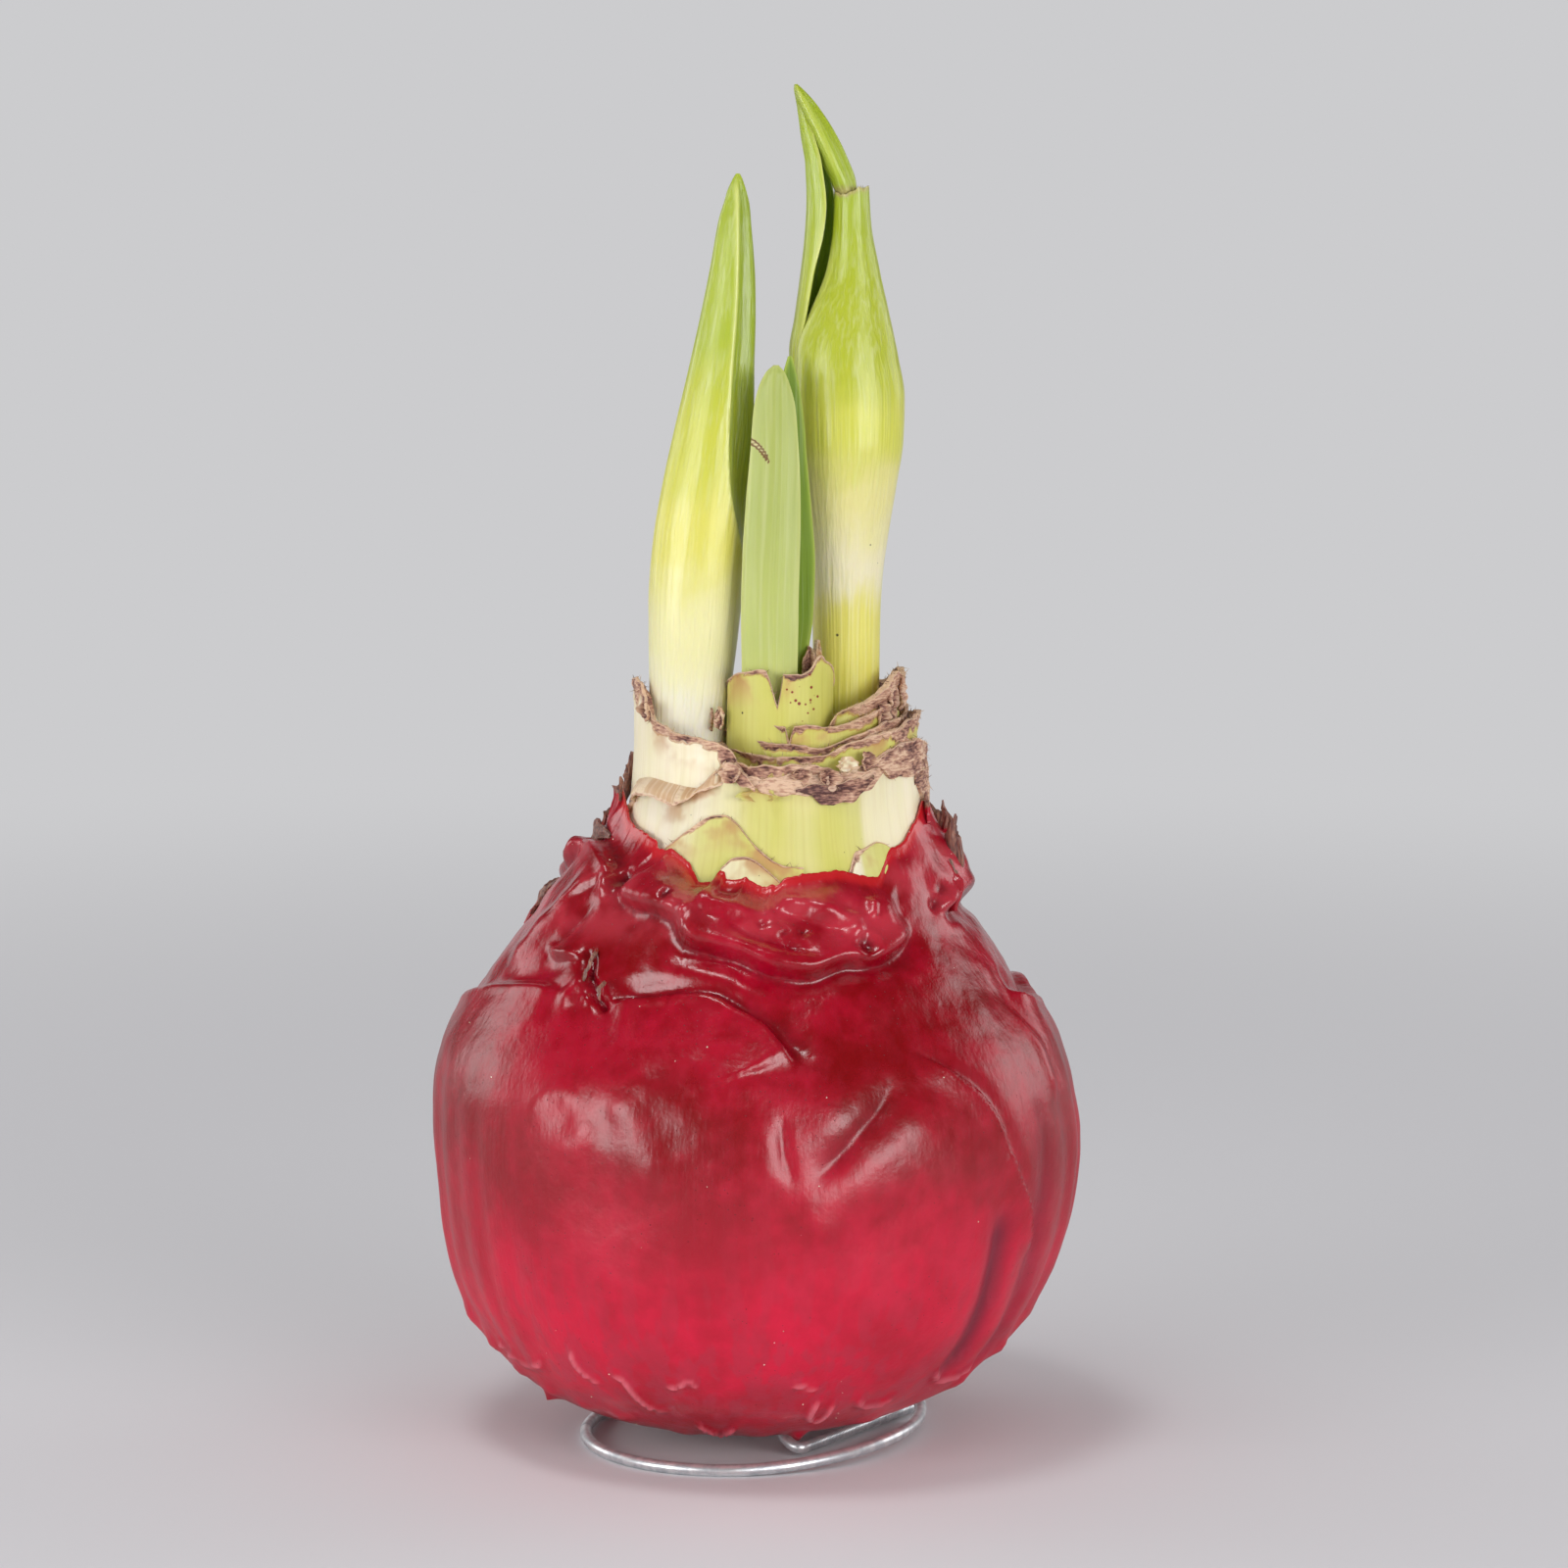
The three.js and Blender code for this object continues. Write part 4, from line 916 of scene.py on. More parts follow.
NECK_SCALES = (
    NeckScale((2.7, 0.5), (20, 17.6),
        ((-186, 97.6), (-172, 98.6), (-150, 101), (-128, 103.4), (-104, 106.6), (-84, 108.4),
        (-72, 108.2), (-64, 105.6), (-58, 103.4), (-50, 102.8), (-44, 102.2), (-30, 101.4), (-22, 100.6),
        (-18, 99.8), (-15, 98), (-13.6, 94.4)),
        ((-172, 1.6), (-100, 1.8), (-72, 3.6), (-62, 1.3), (-40, 1.1), (-26, 1.3), (-20, 3.6),
        (-13.6, 5.5)),
        ((-172, 0.25), (-60, 0.03), (-30, 0.1), (-20, 0.35), (-14, 0.5)),
        foot=78, wall=1.5, spreads=True, curl=0.2, wrinkle=0.26),
    NeckScale((2.9, 0.5), (20.95, 18.3),
        ((-50, 84), (-46, 85.6), (-42, 86.7), (-37, 88.2), (-32, 89.5), (-28, 90.6), (-24, 91.2),
        (-20, 91.4), (-15, 90.4), (-10, 88.3), (-7, 87.2), (-4.5, 86.4), (0, 85.2), (4, 84.7), (9, 84.6)),
        ((-50, 0.3), (-30, 0.4), (-12, 0.25), (9, 0.2)),
        ((-50, 0.6), (-36, 0.5), (-24, 0.8), (9, 0.85)),
        foot=77, wall=0.9, spreads=True, curl=0.2, wrinkle=0.1),
    NeckScale((2.9, 0.5), (21.05, 18.4),
        ((-19, 84.4), (-15, 85.8), (-11, 86), (-7, 85.4), (-3, 84.2), (1, 82.8)),
        ((-19, 0.25), (1, 0.25)),
        ((-19, 0.3), (1, 0.6)),
        foot=77, wall=0.8, spreads=True, curl=0.2, wrinkle=0.08),
    NeckScale((2.9, 0.5), (20.95, 18.3),
        ((24, 83.2), (26.4, 84.6), (28.4, 86), (31, 86.4), (35, 86.9), (38.5, 87.3), (42, 87), (46, 85.6),
        (49, 84)),
        ((24, 0.5), (29, 1.4), (32, 0.6), (35, 0.2), (49, 0.2)),
        ((24, 0.0), (29, 0.1), (32, 0.7), (49, 0.85)),
        foot=77, wall=0.9, spreads=True, curl=0.15, wrinkle=0.1),
    NeckScale((2.9, 0.5), (20.6, 17.9),
        ((-76, 90.4), (-72, 91.6), (-66, 93), (-61, 93.9), (-51, 93.8), (-41, 93), (-35, 93.6),
        (-29.5, 95), (-24, 96.8), (-20, 97.8), (-16, 98.2), (-10, 98.0), (-4, 98.4), (2, 97.9), (9, 98.3),
        (18, 97.8), (24, 97.2), (28, 97), (33, 97.6), (38, 98.6), (44, 99.2), (52, 100), (60, 100.4),
        (72, 99.8), (85, 98.6), (104, 97.6), (128, 99.4), (150, 98.4), (172, 97.4), (188, 98)),
        ((-76, 0.2), (-34, 0.25), (-26, 0.9), (-20, 1.6), (-14, 1.9), (0, 1.7), (9, 1.9), (18, 1.9),
        (30, 1.8), (40, 2.2), (52, 2.8), (66, 3.0), (80, 2.6), (96, 1.8), (172, 1.6)),
        ((-76, 0.02), (-46, 0.06), (-30, 0.22), (-18, 0.5), (-8, 0.75), (0, 0.85), (10, 0.7), (20, 0.95),
        (32, 0.72), (35, 0.36), (60, 0.16), (100, 0.3), (172, 0.4)),
        foot=78, wall=1.3, spreads=True, curl=0.45, wrinkle=0.42),
    peel(((-14, 96.4), (0, 96.6), (9, 96.8), (20, 97), (30, 96.8), (46, 97.4)),
        94.1, 0.15, 0.35, 0.14, 0.5, 0.6),
    peel(((7, 94.8), (13, 95.6), (20, 95.5), (29, 96), (39, 96.2)), 92.7, 0.4, 0.5, 0.2, 0.6, -0.7),
    peel(((38, 98), (46, 99.4), (56, 100.4), (70, 100.2), (86, 99)), 95.6, 0.35, 0.4, 0.2, 0.5, -0.15),
    peel(((67, 95.4), (71, 96.6), (78, 97.2), (86, 96.8), (92, 95)), 87.5, 0.25, 0.3, 0.22, 1.2, 0.1),
    peel(((-20, 98.4), (-16, 98.4), (-12, 97), (-8, 95.2)), 92.2, 0.3, 0.5, 0.2, 0.4, -0.5),
    NeckScale((8.5, 0.4), (14.3, 16.4),
        ((-98, 101), (-57, 99.4), (-43, 99), (-25, 99), (-10, 99.1), (2, 99.1), (16, 100.8), (36, 102),
        (50, 102.4), (62, 103), (90, 103.6), (130, 102), (172, 100.4), (204, 101.2), (234, 102.4)),
        ((-98, 1.2), (0, 1.0), (30, 1.0), (50, 1.9), (172, 1.4)),
        ((-98, 0.8), (20, 0.95), (172, 0.7)),
        curl=0.35, wrinkle=0.3),
    NeckScale((8.2, 0.2), (13, 14.9),
        ((-100, 103), (-89, 102.4), (-61, 101.2), (-41, 100.8), (-20, 100.7), (-3, 100.4), (5, 100.2),
        (19, 101.4), (39, 102.6), (60, 103.4), (77, 103.2), (100, 104.4), (140, 103), (172, 102),
        (204, 102.4), (234, 103.4)),
        ((-100, 1.3), (-20, 0.95), (20, 0.95), (45, 1.6), (172, 1.4)),
        ((-100, 0.7), (0, 1), (172, 0.8)),
        curl=0.3, wrinkle=0.28),
    NeckScale((7.8, 0), (11.8, 13.5),
        ((-106, 105.4), (-80, 104.6), (-58, 104.2), (-45, 103.6), (-34, 103.2), (-24, 103),
        (-18.5, 102.8), (-15.5, 100.6), (-12.5, 102.9), (-3, 103.2), (8, 103), (20, 103.2), (34, 104),
        (51, 104.8), (70, 105.6), (90, 106.6), (130, 105), (172, 103.4), (204, 103.2), (234, 104)),
        ((-106, 1.3), (-20, 0.8), (20, 0.9), (45, 1.4), (172, 1.5)),
        ((-106, 0.8), (0, 1), (172, 0.8)),
        curl=0.3, wrinkle=0.25),
    NeckScale((8.6, 0.8), (11.6, 11.6),
        ((8, 103), (13, 104.4), (27, 105.6), (40, 106.4), (52, 107.6), (60, 109), (68, 109.6),
        (78, 108.6), (96, 109.6), (120, 107.6), (150, 106), (172, 105), (204, 104.2), (230, 105)),
        ((8, 1.2), (40, 1.8), (60, 4.4), (90, 5), (120, 2.6), (172, 1.8)),
        ((8, 1), (60, 0.8), (172, 0.7)),
        curl=0.6, wrinkle=0.4),
    NeckScale((3.4, -6.2), (7.4, 6.2),
        ((-104, 107), (-90, 108.6), (-74, 109.2), (-57, 110), (-49, 110.3), (-33, 110.6), (-24, 110.9),
        (-17, 110.9), (-11, 109.2), (-4.5, 106.2), (-1, 105.2), (0.4, 108.6), (1.4, 110.2), (8, 110.2),
        (20, 110.2), (34, 110.8), (42, 111.8), (50, 112.6), (58, 111.8), (70, 111.2), (90, 109.4),
        (104, 107)),
        ((-104, 0.6), (-57, 0.35), (-33, 0.6), (-17, 0.8), (-1, 0.6), (20, 0.8), (50, 0.9), (70, 0.25),
        (104, 0.2)),
        ((-104, 0.9), (-30, 0.95), (104, 1)),
        foot=92, wall=1.0, curl=0.12, wrinkle=0.14),
)


@dataclass
class CutNeck:
    """The bulb inside the wax and the cut scales of its neck."""

    form: NeckForm
    skin: BulbSkin
    core_top: float = 97.0
    core_inset: float = 2.6
    core_columns: int = 96
    step: float = 0.37
    rows: int = 32
    seed: int = 21
    scales: tuple[NeckScale, ...] = NECK_SCALES

    def halves(self, scale: NeckScale, height: Array) -> tuple[Array, Array]:
        """Half-width and half-depth of a scale's oval at heights."""
        spread = [curve(height) if scale.spreads else 0 * height for curve in self.form.spread]
        return scale.half[0] + spread[0], scale.half[1] + spread[1]

    def scale(self, scale: NeckScale, seed: int) -> Shape:
        """Builds one scale with its torn, dried and wrinkled edge.

        Args:
            scale: The scale.
            seed: Fixes its tears and folds.

        Returns:
            Its closed shape.
        """
        noise = Noise(seed)
        first, last = scale.edge[0][0], scale.edge[-1][0]
        size = (scale.half[0] + scale.half[1]) / 2
        columns = int(math.radians(last - first) * size / self.step) + 1
        degrees = np.linspace(first, last, columns)
        run = np.radians(degrees) * size
        top = Curve(scale.edge)(degrees)
        dried = Curve(scale.dried)(degrees)
        rough = np.minimum(dried, 2.0)
        top = top + rough * (0.17 * noise.line(run, 1.7, 2) + 0.12 * np.abs(noise.line(run + 50, 0.6, 1)))
        foot = scale.foot + scale.hem * noise.line(run + 90, 2.2, 3)
        if scale.hem:
            foot += 0.8 * (top - foot) * (1 - smooth(run - run[0], 0, 4) * smooth(run[-1] - run, 0, 4))
        share = np.linspace(0, 1, self.rows) ** 0.62
        depth_below = (1 - share)[:, None] * (top - foot)
        height = top - depth_below
        ends = smooth(run - run[0], 0, 1.2) * smooth(run[-1] - run, 0, 1.2)
        strip = np.broadcast_to(run, height.shape)
        place = np.stack([strip, height, np.zeros_like(height)], -1)
        ragged = 0.5 * noise.fractal(place, 1.8, 2) + 0.3 * noise.fractal(place * (1, 0.3, 1), 0.8, 2)
        dryness = 1 - smooth(depth_below + rough * ragged, 0.62 * dried, 1.02 * dried + 0.05)
        folds = 0.75 * noise.fractal(place * (0.3, 1, 1) + 20, 0.95, 2)
        folds += 0.7 * noise.fractal(place * (1, 0.5, 1) + 70, 2.3, 2)
        lift = scale.wrinkle * dryness * folds
        lift += 0.05 * noise.line(strip, 0.8, 2) * (1 - dryness)
        lift += 0.12 * noise.fractal(place * (1, 0.25, 1), 5, 2)
        curled = scale.curl * dryness * smooth(1 - depth_below / np.maximum(dried, 0.3), 0, 1)
        lift += curled * (1 + 0.7 * noise.line(strip, 3.2, 2))
        lift += 0.16 * hump(depth_below - dried - 0.25, 0.4) * smooth(dried, 0.7, 1.5)
        worn = (scale.wall - 0.42) * (1 - smooth(depth_below, 0.1, 1.6))
        wall = (scale.wall - worn) * (0.35 + 0.65 * ends)
        turn = np.radians(degrees)
        wide, deep = self.halves(scale, height)

        def stand(off: Array) -> Array:
            """Points off the scale's oval by a distance."""
            return oval(turn, height, wide + off, deep + off, *scale.middle)

        # the fold value paints shade in low folds and light on raised ones, shifted by the scale's tone
        values = {
            "dry": dryness,
            "fold_shade_and_tone": folds + scale.tone,
            "green": np.broadcast_to(Curve(scale.green)(degrees), height.shape),
            "edge": depth_below,
            "skin": place[..., [0, 2, 1]],
        }
        return closed_sheet(stand(lift), stand(np.minimum(lift, 0.2) - wall), values)

    def torn_band(self) -> Shape:
        """The pale striped band that curls off the left scale."""
        upper = Curve((
            (-72, 94.2), (-68, 94.8), (-59, 95.3), (-44, 94.9), (-33, 94.6), (-25.5, 96.7), (-20, 98.6)))
        lower = Curve((
            (-72, 91.2), (-61, 93.1), (-51, 93.1), (-41, 92.3), (-35, 93), (-29.5, 94.2), (-20, 95.6)))
        degrees = np.linspace(-72, -20, 120)
        noise = Noise(self.seed + 40)
        v = np.linspace(0, 1, 16)[:, None]
        run = np.radians(degrees) * 20
        bottom = lower(degrees) + 0.22 * noise.line(run, 1.3, 2)
        height = bottom + (upper(degrees) + 0.1 - bottom) * v
        ends = smooth(degrees, -72, -66) * smooth(-degrees, 20, 25)
        strip = run + 0 * v
        off = 0.25 + ends * (1.5 * (1 - v) ** 1.3 + 0.6 * np.sin(math.pi * v))
        off += 0.1 * noise.line(strip, 0.9, 2) * (1 - v)
        turn = np.radians(degrees)
        wide, deep = self.halves(self.scales[0], height)

        def stand(extra: float) -> Array:
            """Points of the band, nearer or farther."""
            return oval(turn, height, wide + off + extra, deep + off + extra, *self.scales[0].middle)

        # the fold value holds the band at the pale end of the painted fold light and shade
        shade = {
            "dry": 0.34 + 0.4 * hump(v, 0.12) + 0.22 * noise.line(strip, 0.5, 2),
            "green": 0 * height, "edge": 3 + 0 * height, "fold_shade_and_tone": 0.9 + 0 * height,
            "skin": np.stack([strip, 0 * height, height], -1),
        }
        return closed_sheet(stand(0.0), stand(-0.28), shade)

    def curled_chip(self, centre: Triple, size: Pair, turn: float, dry: float, seed: int) -> Shape:
        """A small curled scrap of skin.

        Args:
            centre: Its middle.
            size: Its half-width and half-height.
            turn: Its bearing.
            dry: How brown it is.
            seed: Fixes its shape.

        Returns:
            Its closed shape.
        """
        noise = Noise(seed)
        u, v = np.meshgrid(np.linspace(-1, 1, 16), np.linspace(-1, 1, 16))
        place = np.stack([u * 2, v * 2, 0 * u + seed], -1)
        wide = size[0] * u * (1 - 0.3 * v * v) * (1 + 0.25 * noise.at(place, 1.1))
        tall = size[1] * v * (1 - 0.25 * u * u) * (1 + 0.25 * noise.at(place + 9, 1.1))
        off = 0.5 * size[0] * (u * u - 0.4) + 0.35 * noise.fractal(place + 4, 1.0, 2)
        angle = math.radians(turn)
        side = np.array([math.cos(angle), math.sin(angle), 0])
        ahead, up = np.array([side[1], -side[0], 0]), np.array([0, 0, 1])
        front = centre + side * wide[..., None] + ahead * off[..., None] + up * tall[..., None]
        dryness = np.clip(dry + 0.25 * noise.fractal(place + 2, 0.9, 2), 0, 1)
        flat = 0 * u
        # the fold value paints light where the scrap curls forward and shade where it dips back
        fields = {
            "dry": dryness if dry else flat, "green": flat + (0.1 if dry else 0.8), "edge": flat + 1,
            "skin": place, "fold_shade_and_tone": 2.2 * off / size[0],
        }
        return closed_sheet(front, front - ahead * 0.3, fields)

    def chips(self) -> Shape:
        """The scraps that lie on the dried band and beside the leaf."""
        scraps = (
            ((12.6, -17.2, 98.2), (1.7, 1.0), 30, 0.25, 3), ((15.6, -15.8, 98.6), (1.3, 1.4), 42, 0.85, 5),
            ((-3.4, -17.8, 97.2), (1.5, 1.5), -22, 0.75, 8), ((10.2, -17.9, 96.4), (1.6, 1.1), 25, 0.9, 12),
            ((6.4, -18.6, 97.0), (1.4, 0.9), 12, 0.8, 14), ((0.4, -18.7, 94.1), (2.9, 0.9), -3, 0, 15),
            ((20.0, -9.0, 99.6), (1.8, 1.6), 62, 0.8, 16), ((14.9, -15.6, 86.9), (0.8, 1.1), 33, 0.95, 18),
            ((20.6, -3.0, 106.6), (1.4, 2.4), 80, 0.85, 20), ((19.2, -5.6, 105.4), (1.2, 2.2), 66, 0.75, 22),
            ((17.8, -8.0, 104.0), (1.3, 1.6), 55, 0.8, 24), ((-5.2, -8.8, 103.6), (0.7, 1.6), -35, 0.6, 26),
            ((-6.6, -6.6, 103.4), (1.0, 2.0), -60, 0.75, 28), ((7.5, -5.4, 110.4), (1.1, 3.0), 20, 0.7, 30),
            ((8.6, -4.8, 112.2), (0.5, 2.4), 40, 0.4, 32), ((-15.6, -8.6, 104.6), (1.2, 1.4), -62, 0.9, 34),
            ((10.6, 14.6, 103.2), (1.7, 1.8), 150, 0.8, 36),
        )
        return join_all([self.curled_chip(*one) for one in scraps])

    def body(self) -> Shape:
        """The plump body inside the wax, up to the neck's core."""
        degrees = np.linspace(-180, 180, self.core_columns, endpoint=False)
        even = np.ones(self.core_columns)
        rings = []
        for share in np.linspace(0.02, 0.93, 26):
            run = share * self.skin.run_at(even * 84)
            rings.append(self.skin.place(degrees, run, -self.core_inset * even))
        turn = np.radians(degrees)
        top = self.core_top
        for z, shrink in ((84, 3.2), (88, 2.6), (93, 2.4), (top - 0.6, 2.2), (top, 3.4)):
            a = self.form.half[0] + self.form.spread[0](z) - shrink
            b = self.form.half[1] + self.form.spread[1](z) - shrink
            rings.append(oval(turn, float(z), a, b, *self.form.middle))
        rows = np.array(rings)
        fields = {name: np.full(rows.shape[:2], value)
                  for name, value in (("dry", 0.75), ("green", 0.3), ("edge", 5.0), ("fold_shade_and_tone", 0.0))}
        return closed_tube(rows, fields | {"skin": rows})

    def shapes(self) -> dict[str, Shape]:
        """The neck's pieces by name."""
        walls = [self.scale(scale, self.seed + i) for i, scale in enumerate(self.scales)]
        return {
            "neck_scales": join_all(walls),
            "neck_scraps": join_all([self.torn_band(), self.chips()]),
            "bulb_body": self.body(),
        }


# ---- shoots and leaves
Stations = tuple[tuple[float, float, float, float, float], ...]


def station_curves(stations: Stations) -> list[Curve]:
    """Curves of x, y, half-width and half-depth or sag over height."""
    return [Curve([(row[0], row[i]) for row in stations]) for i in (1, 2, 3, 4)]


def levels(low: float, high: float, count: int, ends: float = 1.0) -> Array:
    """Heights from low to high, closer together towards the top where ends is over 1."""
    return low + (high - low) * (1 - (1 - np.linspace(0, 1, count)) ** ends)


@dataclass
class FlowerShoots:
    """Two flower stems with their buds; the right one's front bract is snapped at its tip."""

    left: Stations = (
        (91, -9.4, -2.4, 4.9, 4.6), (100, -9.6, -2.7, 5.3, 5), (108, -9.2, -3, 5.8, 5.4),
        (115, -8.8, -3.2, 6.3, 5.8), (122, -8.4, -3.3, 6.6, 5.9), (129, -7.8, -3.4, 6.5, 5.6),
        (137, -6.8, -3.4, 6.1, 5.1), (145, -5.7, -3.4, 5.4, 4.5), (152, -4.8, -3.3, 4.6, 3.9),
        (160, -3.8, -3.1, 3.8, 3.2), (167, -3.2, -3, 3, 2.6), (172.5, -2.9, -2.9, 2.3, 1.9),
        (176, -2.6, -2.8, 1.5, 1.2), (178.4, -2.55, -2.8, 0.75, 0.6), (179.2, -2.5, -2.8, 0.3, 0.3),
    )
    # bearing of the edge of the left bud's front bract, by height
    left_edge: Path = (
        (114, 98), (119, 92), (124, 78), (130, 52), (136, 34), (144, 24), (156, 20), (170, 17), (179, 8),
    )
    right: Stations = (
        (91, 12.4, 1.2, 4.4, 4.4), (100, 12.7, 1, 4.6, 4.5), (110, 12.7, 0.8, 4.65, 4.5),
        (118, 12.7, 0.6, 4.75, 4.6), (122, 12.7, 0.5, 5, 4.9), (128, 12.75, 0.4, 5.7, 5.5),
        (135, 12.9, 0.3, 6.7, 6.2), (142, 13.1, 0.2, 7.5, 6.6), (148, 13.05, 0.1, 7.7, 6.5),
        (154, 12.8, 0, 7, 5.9), (160, 13.2, 0, 5.25, 4.9), (163, 13.5, 0, 4.3, 4.3),
        (166, 13.65, -0.1, 3.5, 3.7), (172, 13.5, -0.2, 2.55, 2.8), (177, 13.4, -0.2, 2.3, 2.25),
    )
    snapped: Stations = (
        (175.6, 12.9, -0.3, 1.2, 1.1), (176.8, 12.5, -0.35, 1.6, 1.4), (178.5, 12, -0.35, 1.85, 1.6),
        (180.2, 11.25, -0.3, 2.0, 1.65), (182.6, 10.2, -0.25, 2.0, 1.6), (185.4, 8.85, -0.1, 1.85, 1.4),
        (188.1, 7.4, 0.1, 1.5, 1.1), (189.6, 6.6, 0.2, 1.1, 0.8), (190.9, 5.85, 0.3, 0.6, 0.5),
        (191.5, 5.55, 0.3, 0.2, 0.2),
    )
    # the rear bract, a curved wall: height, left side, middle's depth, radius, front rim's bearing
    rear: Stations = (
        (143, 5.9, 0.6, 4.6, -82), (149, 5.0, 0.9, 4.3, -62), (154.4, 4.6, 1.1, 3.6, -42),
        (158.8, 5.3, 1.2, 3.4, -34), (164.7, 6.1, 1.2, 3.5, -30), (170.6, 6.75, 1.1, 3.4, -14),
        (175.2, 7.0, 0.9, 3.1, -6), (180.4, 6.85, 0.7, 2.4, -2), (184.2, 6.25, 0.6, 1.8, 4),
        (188.2, 5.7, 0.5, 1.0, 10), (190.6, 5.4, 0.4, 0.5, 16), (191.4, 5.4, 0.4, 0.2, 16),
    )
    # the torn fibres: how many, from where to where, and at what height
    fibre_count: int = 26
    fibre_x: Pair = (11.4, 15.2)
    fibre_y: Pair = (-2.2, 0.2)
    fibre_z: float = 176.9
    seed: int = 31

    def body(self, stations: Stations, count: int, crowd: float, columns: int = 128) -> tuple[Array, ...]:
        """A stem's plain form.

        Args:
            stations: Its stations.
            count: How many rings.
            crowd: How much closer the rings are towards the top, 1 for even.
            columns: How many points to a ring.

        Returns:
            Bearings, heights and the four station values, rings by columns.
        """
        z = levels(stations[0][0], stations[-1][0], count, crowd)
        degrees = np.linspace(-180, 180, columns, endpoint=False)
        grid_d, grid_z = np.meshgrid(degrees, z)
        return grid_d, grid_z, *[curve(grid_z) for curve in station_curves(stations)]

    def left_shape(self) -> Shape:
        """The left stem and its pointed bud, one bract folded over the other."""
        d, z, x, y, wide, deep = self.body(self.left, 190, 1.15)
        noise = Noise(self.seed)
        size = (wide + deep) / 2
        turn = np.radians(d)
        place = oval(turn, z, size, size)
        # millimetres round from the front bract's edge, and where the two bracts part
        off = np.radians(d - Curve(self.left_edge)(z)) * size
        parted = band(z, 116, 132, 176.5, 179)
        front = 1 - smooth(off, -0.16, 0.16)
        step = 0.42 * front * np.exp(np.minimum(off, 0) / 3.5)
        step = (step + 0.16 * hump(off + 0.35, 0.35)) * parted
        dip = -0.2 * size * parted * smooth(z, 122, 142) * hump(off - 0.36 * size, 0.32 * size)
        ribs = 0.035 * noise.fractal(place * (1, 1, 0.03), 0.75, 2) * (0.5 + 1.3 * (1 - front))
        flat = -0.12 * hump(d + 34, 20) * parted
        swell = step + dip + ribs + flat + 0.1 * noise.fractal(place * (1, 1, 0.25), 7, 2)
        swell *= np.minimum(1, size / 1.2)
        rings = oval(turn, z, wide + swell, deep + swell, x, y)
        # the rear bract's face behind the front bract's edge, painted in shade
        inner = (1 - front) * (1 - smooth(off, 1.5 * size, 2.2 * size)) * parted
        margin = hump(off + 0.25, 0.32) * parted
        return closed_tube(rings, {"inner": inner, "margin": margin, "place": place})

    def right_shape(self) -> Shape:
        """The right stem, its fat bud, the snapped end and the rear bract."""
        d, z, x, y, wide, deep = self.body(self.right, 180, 1.1)
        noise = Noise(self.seed + 1)
        size = (wide + deep) / 2
        turn = np.radians(d)
        place = oval(turn, z, size, size)
        ribs = 0.03 * noise.fractal(place * (1, 1, 0.03), 0.8, 2)
        keel = 0.10 * size * hump(d + 82, 22) * smooth(z, 150, 158)
        hollow = -0.16 * size * hump(d + 118, 26) * smooth(z, 154, 164)
        swell = ribs + keel + hollow + 0.1 * noise.fractal(place * (1, 1, 0.25), 8, 2)
        rings = oval(turn, z, wide + swell, deep + swell, x, y)
        tear = 0.35 * hump(d - 60, 30) - 0.5 * hump(d + 30, 40)
        tear += 0.45 * noise.line(turn * 2.3, 0.9, 2)
        rings[..., 2] += tear * smooth(z, 175, 177)
        margin = hump(np.radians(d + 78) * size, 1.3) * band(z, 146, 156, 166, 171)
        values = {"margin": margin, "torn": smooth(z, 176.2, 176.9), "place": place}
        stem = closed_tube(self.capped(rings), {
            name: np.concatenate([data, data[-1:], data[-1:]]) for name, data in values.items()})
        return join_all([stem, self.claw(), self.rear_bract(), self.fibres()])

    @staticmethod
    def capped(rings: Array) -> Array:
        """Rings with two more inside the last, which sink into the torn top."""
        middle = rings[-1].mean(0)
        more = []
        for share, sink in ((0.82, 0.12), (0.45, 0.5)):
            ring = middle + (rings[-1] - middle) * share
            ring[:, 2] = middle[2] + (rings[-1][:, 2] - middle[2]) * share - sink
            more.append(ring[None])
        return np.concatenate([rings, *more])

    def claw(self) -> Shape:
        """The snapped end of the front bract, bent over to the left, with its keel."""
        d, z, x, y, wide, deep = self.body(self.snapped, 70, 1.3, 48)
        turn = np.radians(d)
        noise = Noise(self.seed + 2)
        keel = 0.24 * deep * hump(d + 6, 26) - 0.14 * deep * (hump(d + 55, 24) + hump(d - 50, 24))
        place = oval(turn, z, wide, deep)
        swell = keel + 0.025 * noise.fractal(place * (1, 1, 0.05), 0.6, 2)
        rings = oval(turn, z, wide + swell, deep + swell, x, y)
        rings[:3, :, 2] += 0.3 * noise.line(turn[0] * 1.6, 0.7, 2)
        return closed_tube(rings, {
            "margin": 0.5 * hump(d + 6, 12) * smooth(z, 178, 181),
            "torn": 1 - smooth(z, 176.6, 177.8), "place": place,
        })

    def rear_bract(self) -> Shape:
        """The rear bract: a curved wall round the bud's left, its inside painted in shade."""
        z = levels(self.rear[0][0], self.rear[-1][0], 110, 1.1)
        left_x, y, radius, rim = [curve(z)[:, None] for curve in station_curves(self.rear)]
        share = np.linspace(0, 1, 46)[None, :]
        bearing = -198 + (rim + 198) * share
        turn = np.radians(bearing)
        noise = Noise(self.seed + 3)
        middle_x = left_x + radius
        place = oval(turn, z[:, None], radius, radius)
        ribs = 0.04 * noise.fractal(place * (1, 1, 0.03), 0.6, 2)
        wall = 0.75 - 0.45 * smooth(share, 0.86, 1.0) - 0.3 * smooth(-share, -0.1, 0.0)
        wall = wall * np.minimum(1, radius / 1.1)
        outer = radius + ribs

        def stand(r: Array) -> Array:
            """Points of the wall at a radius."""
            return oval(turn, z[:, None], r, r, middle_x, y)

        shape = closed_sheet(stand(outer), stand(np.maximum(outer - wall, 0.04)))
        count = outer.size
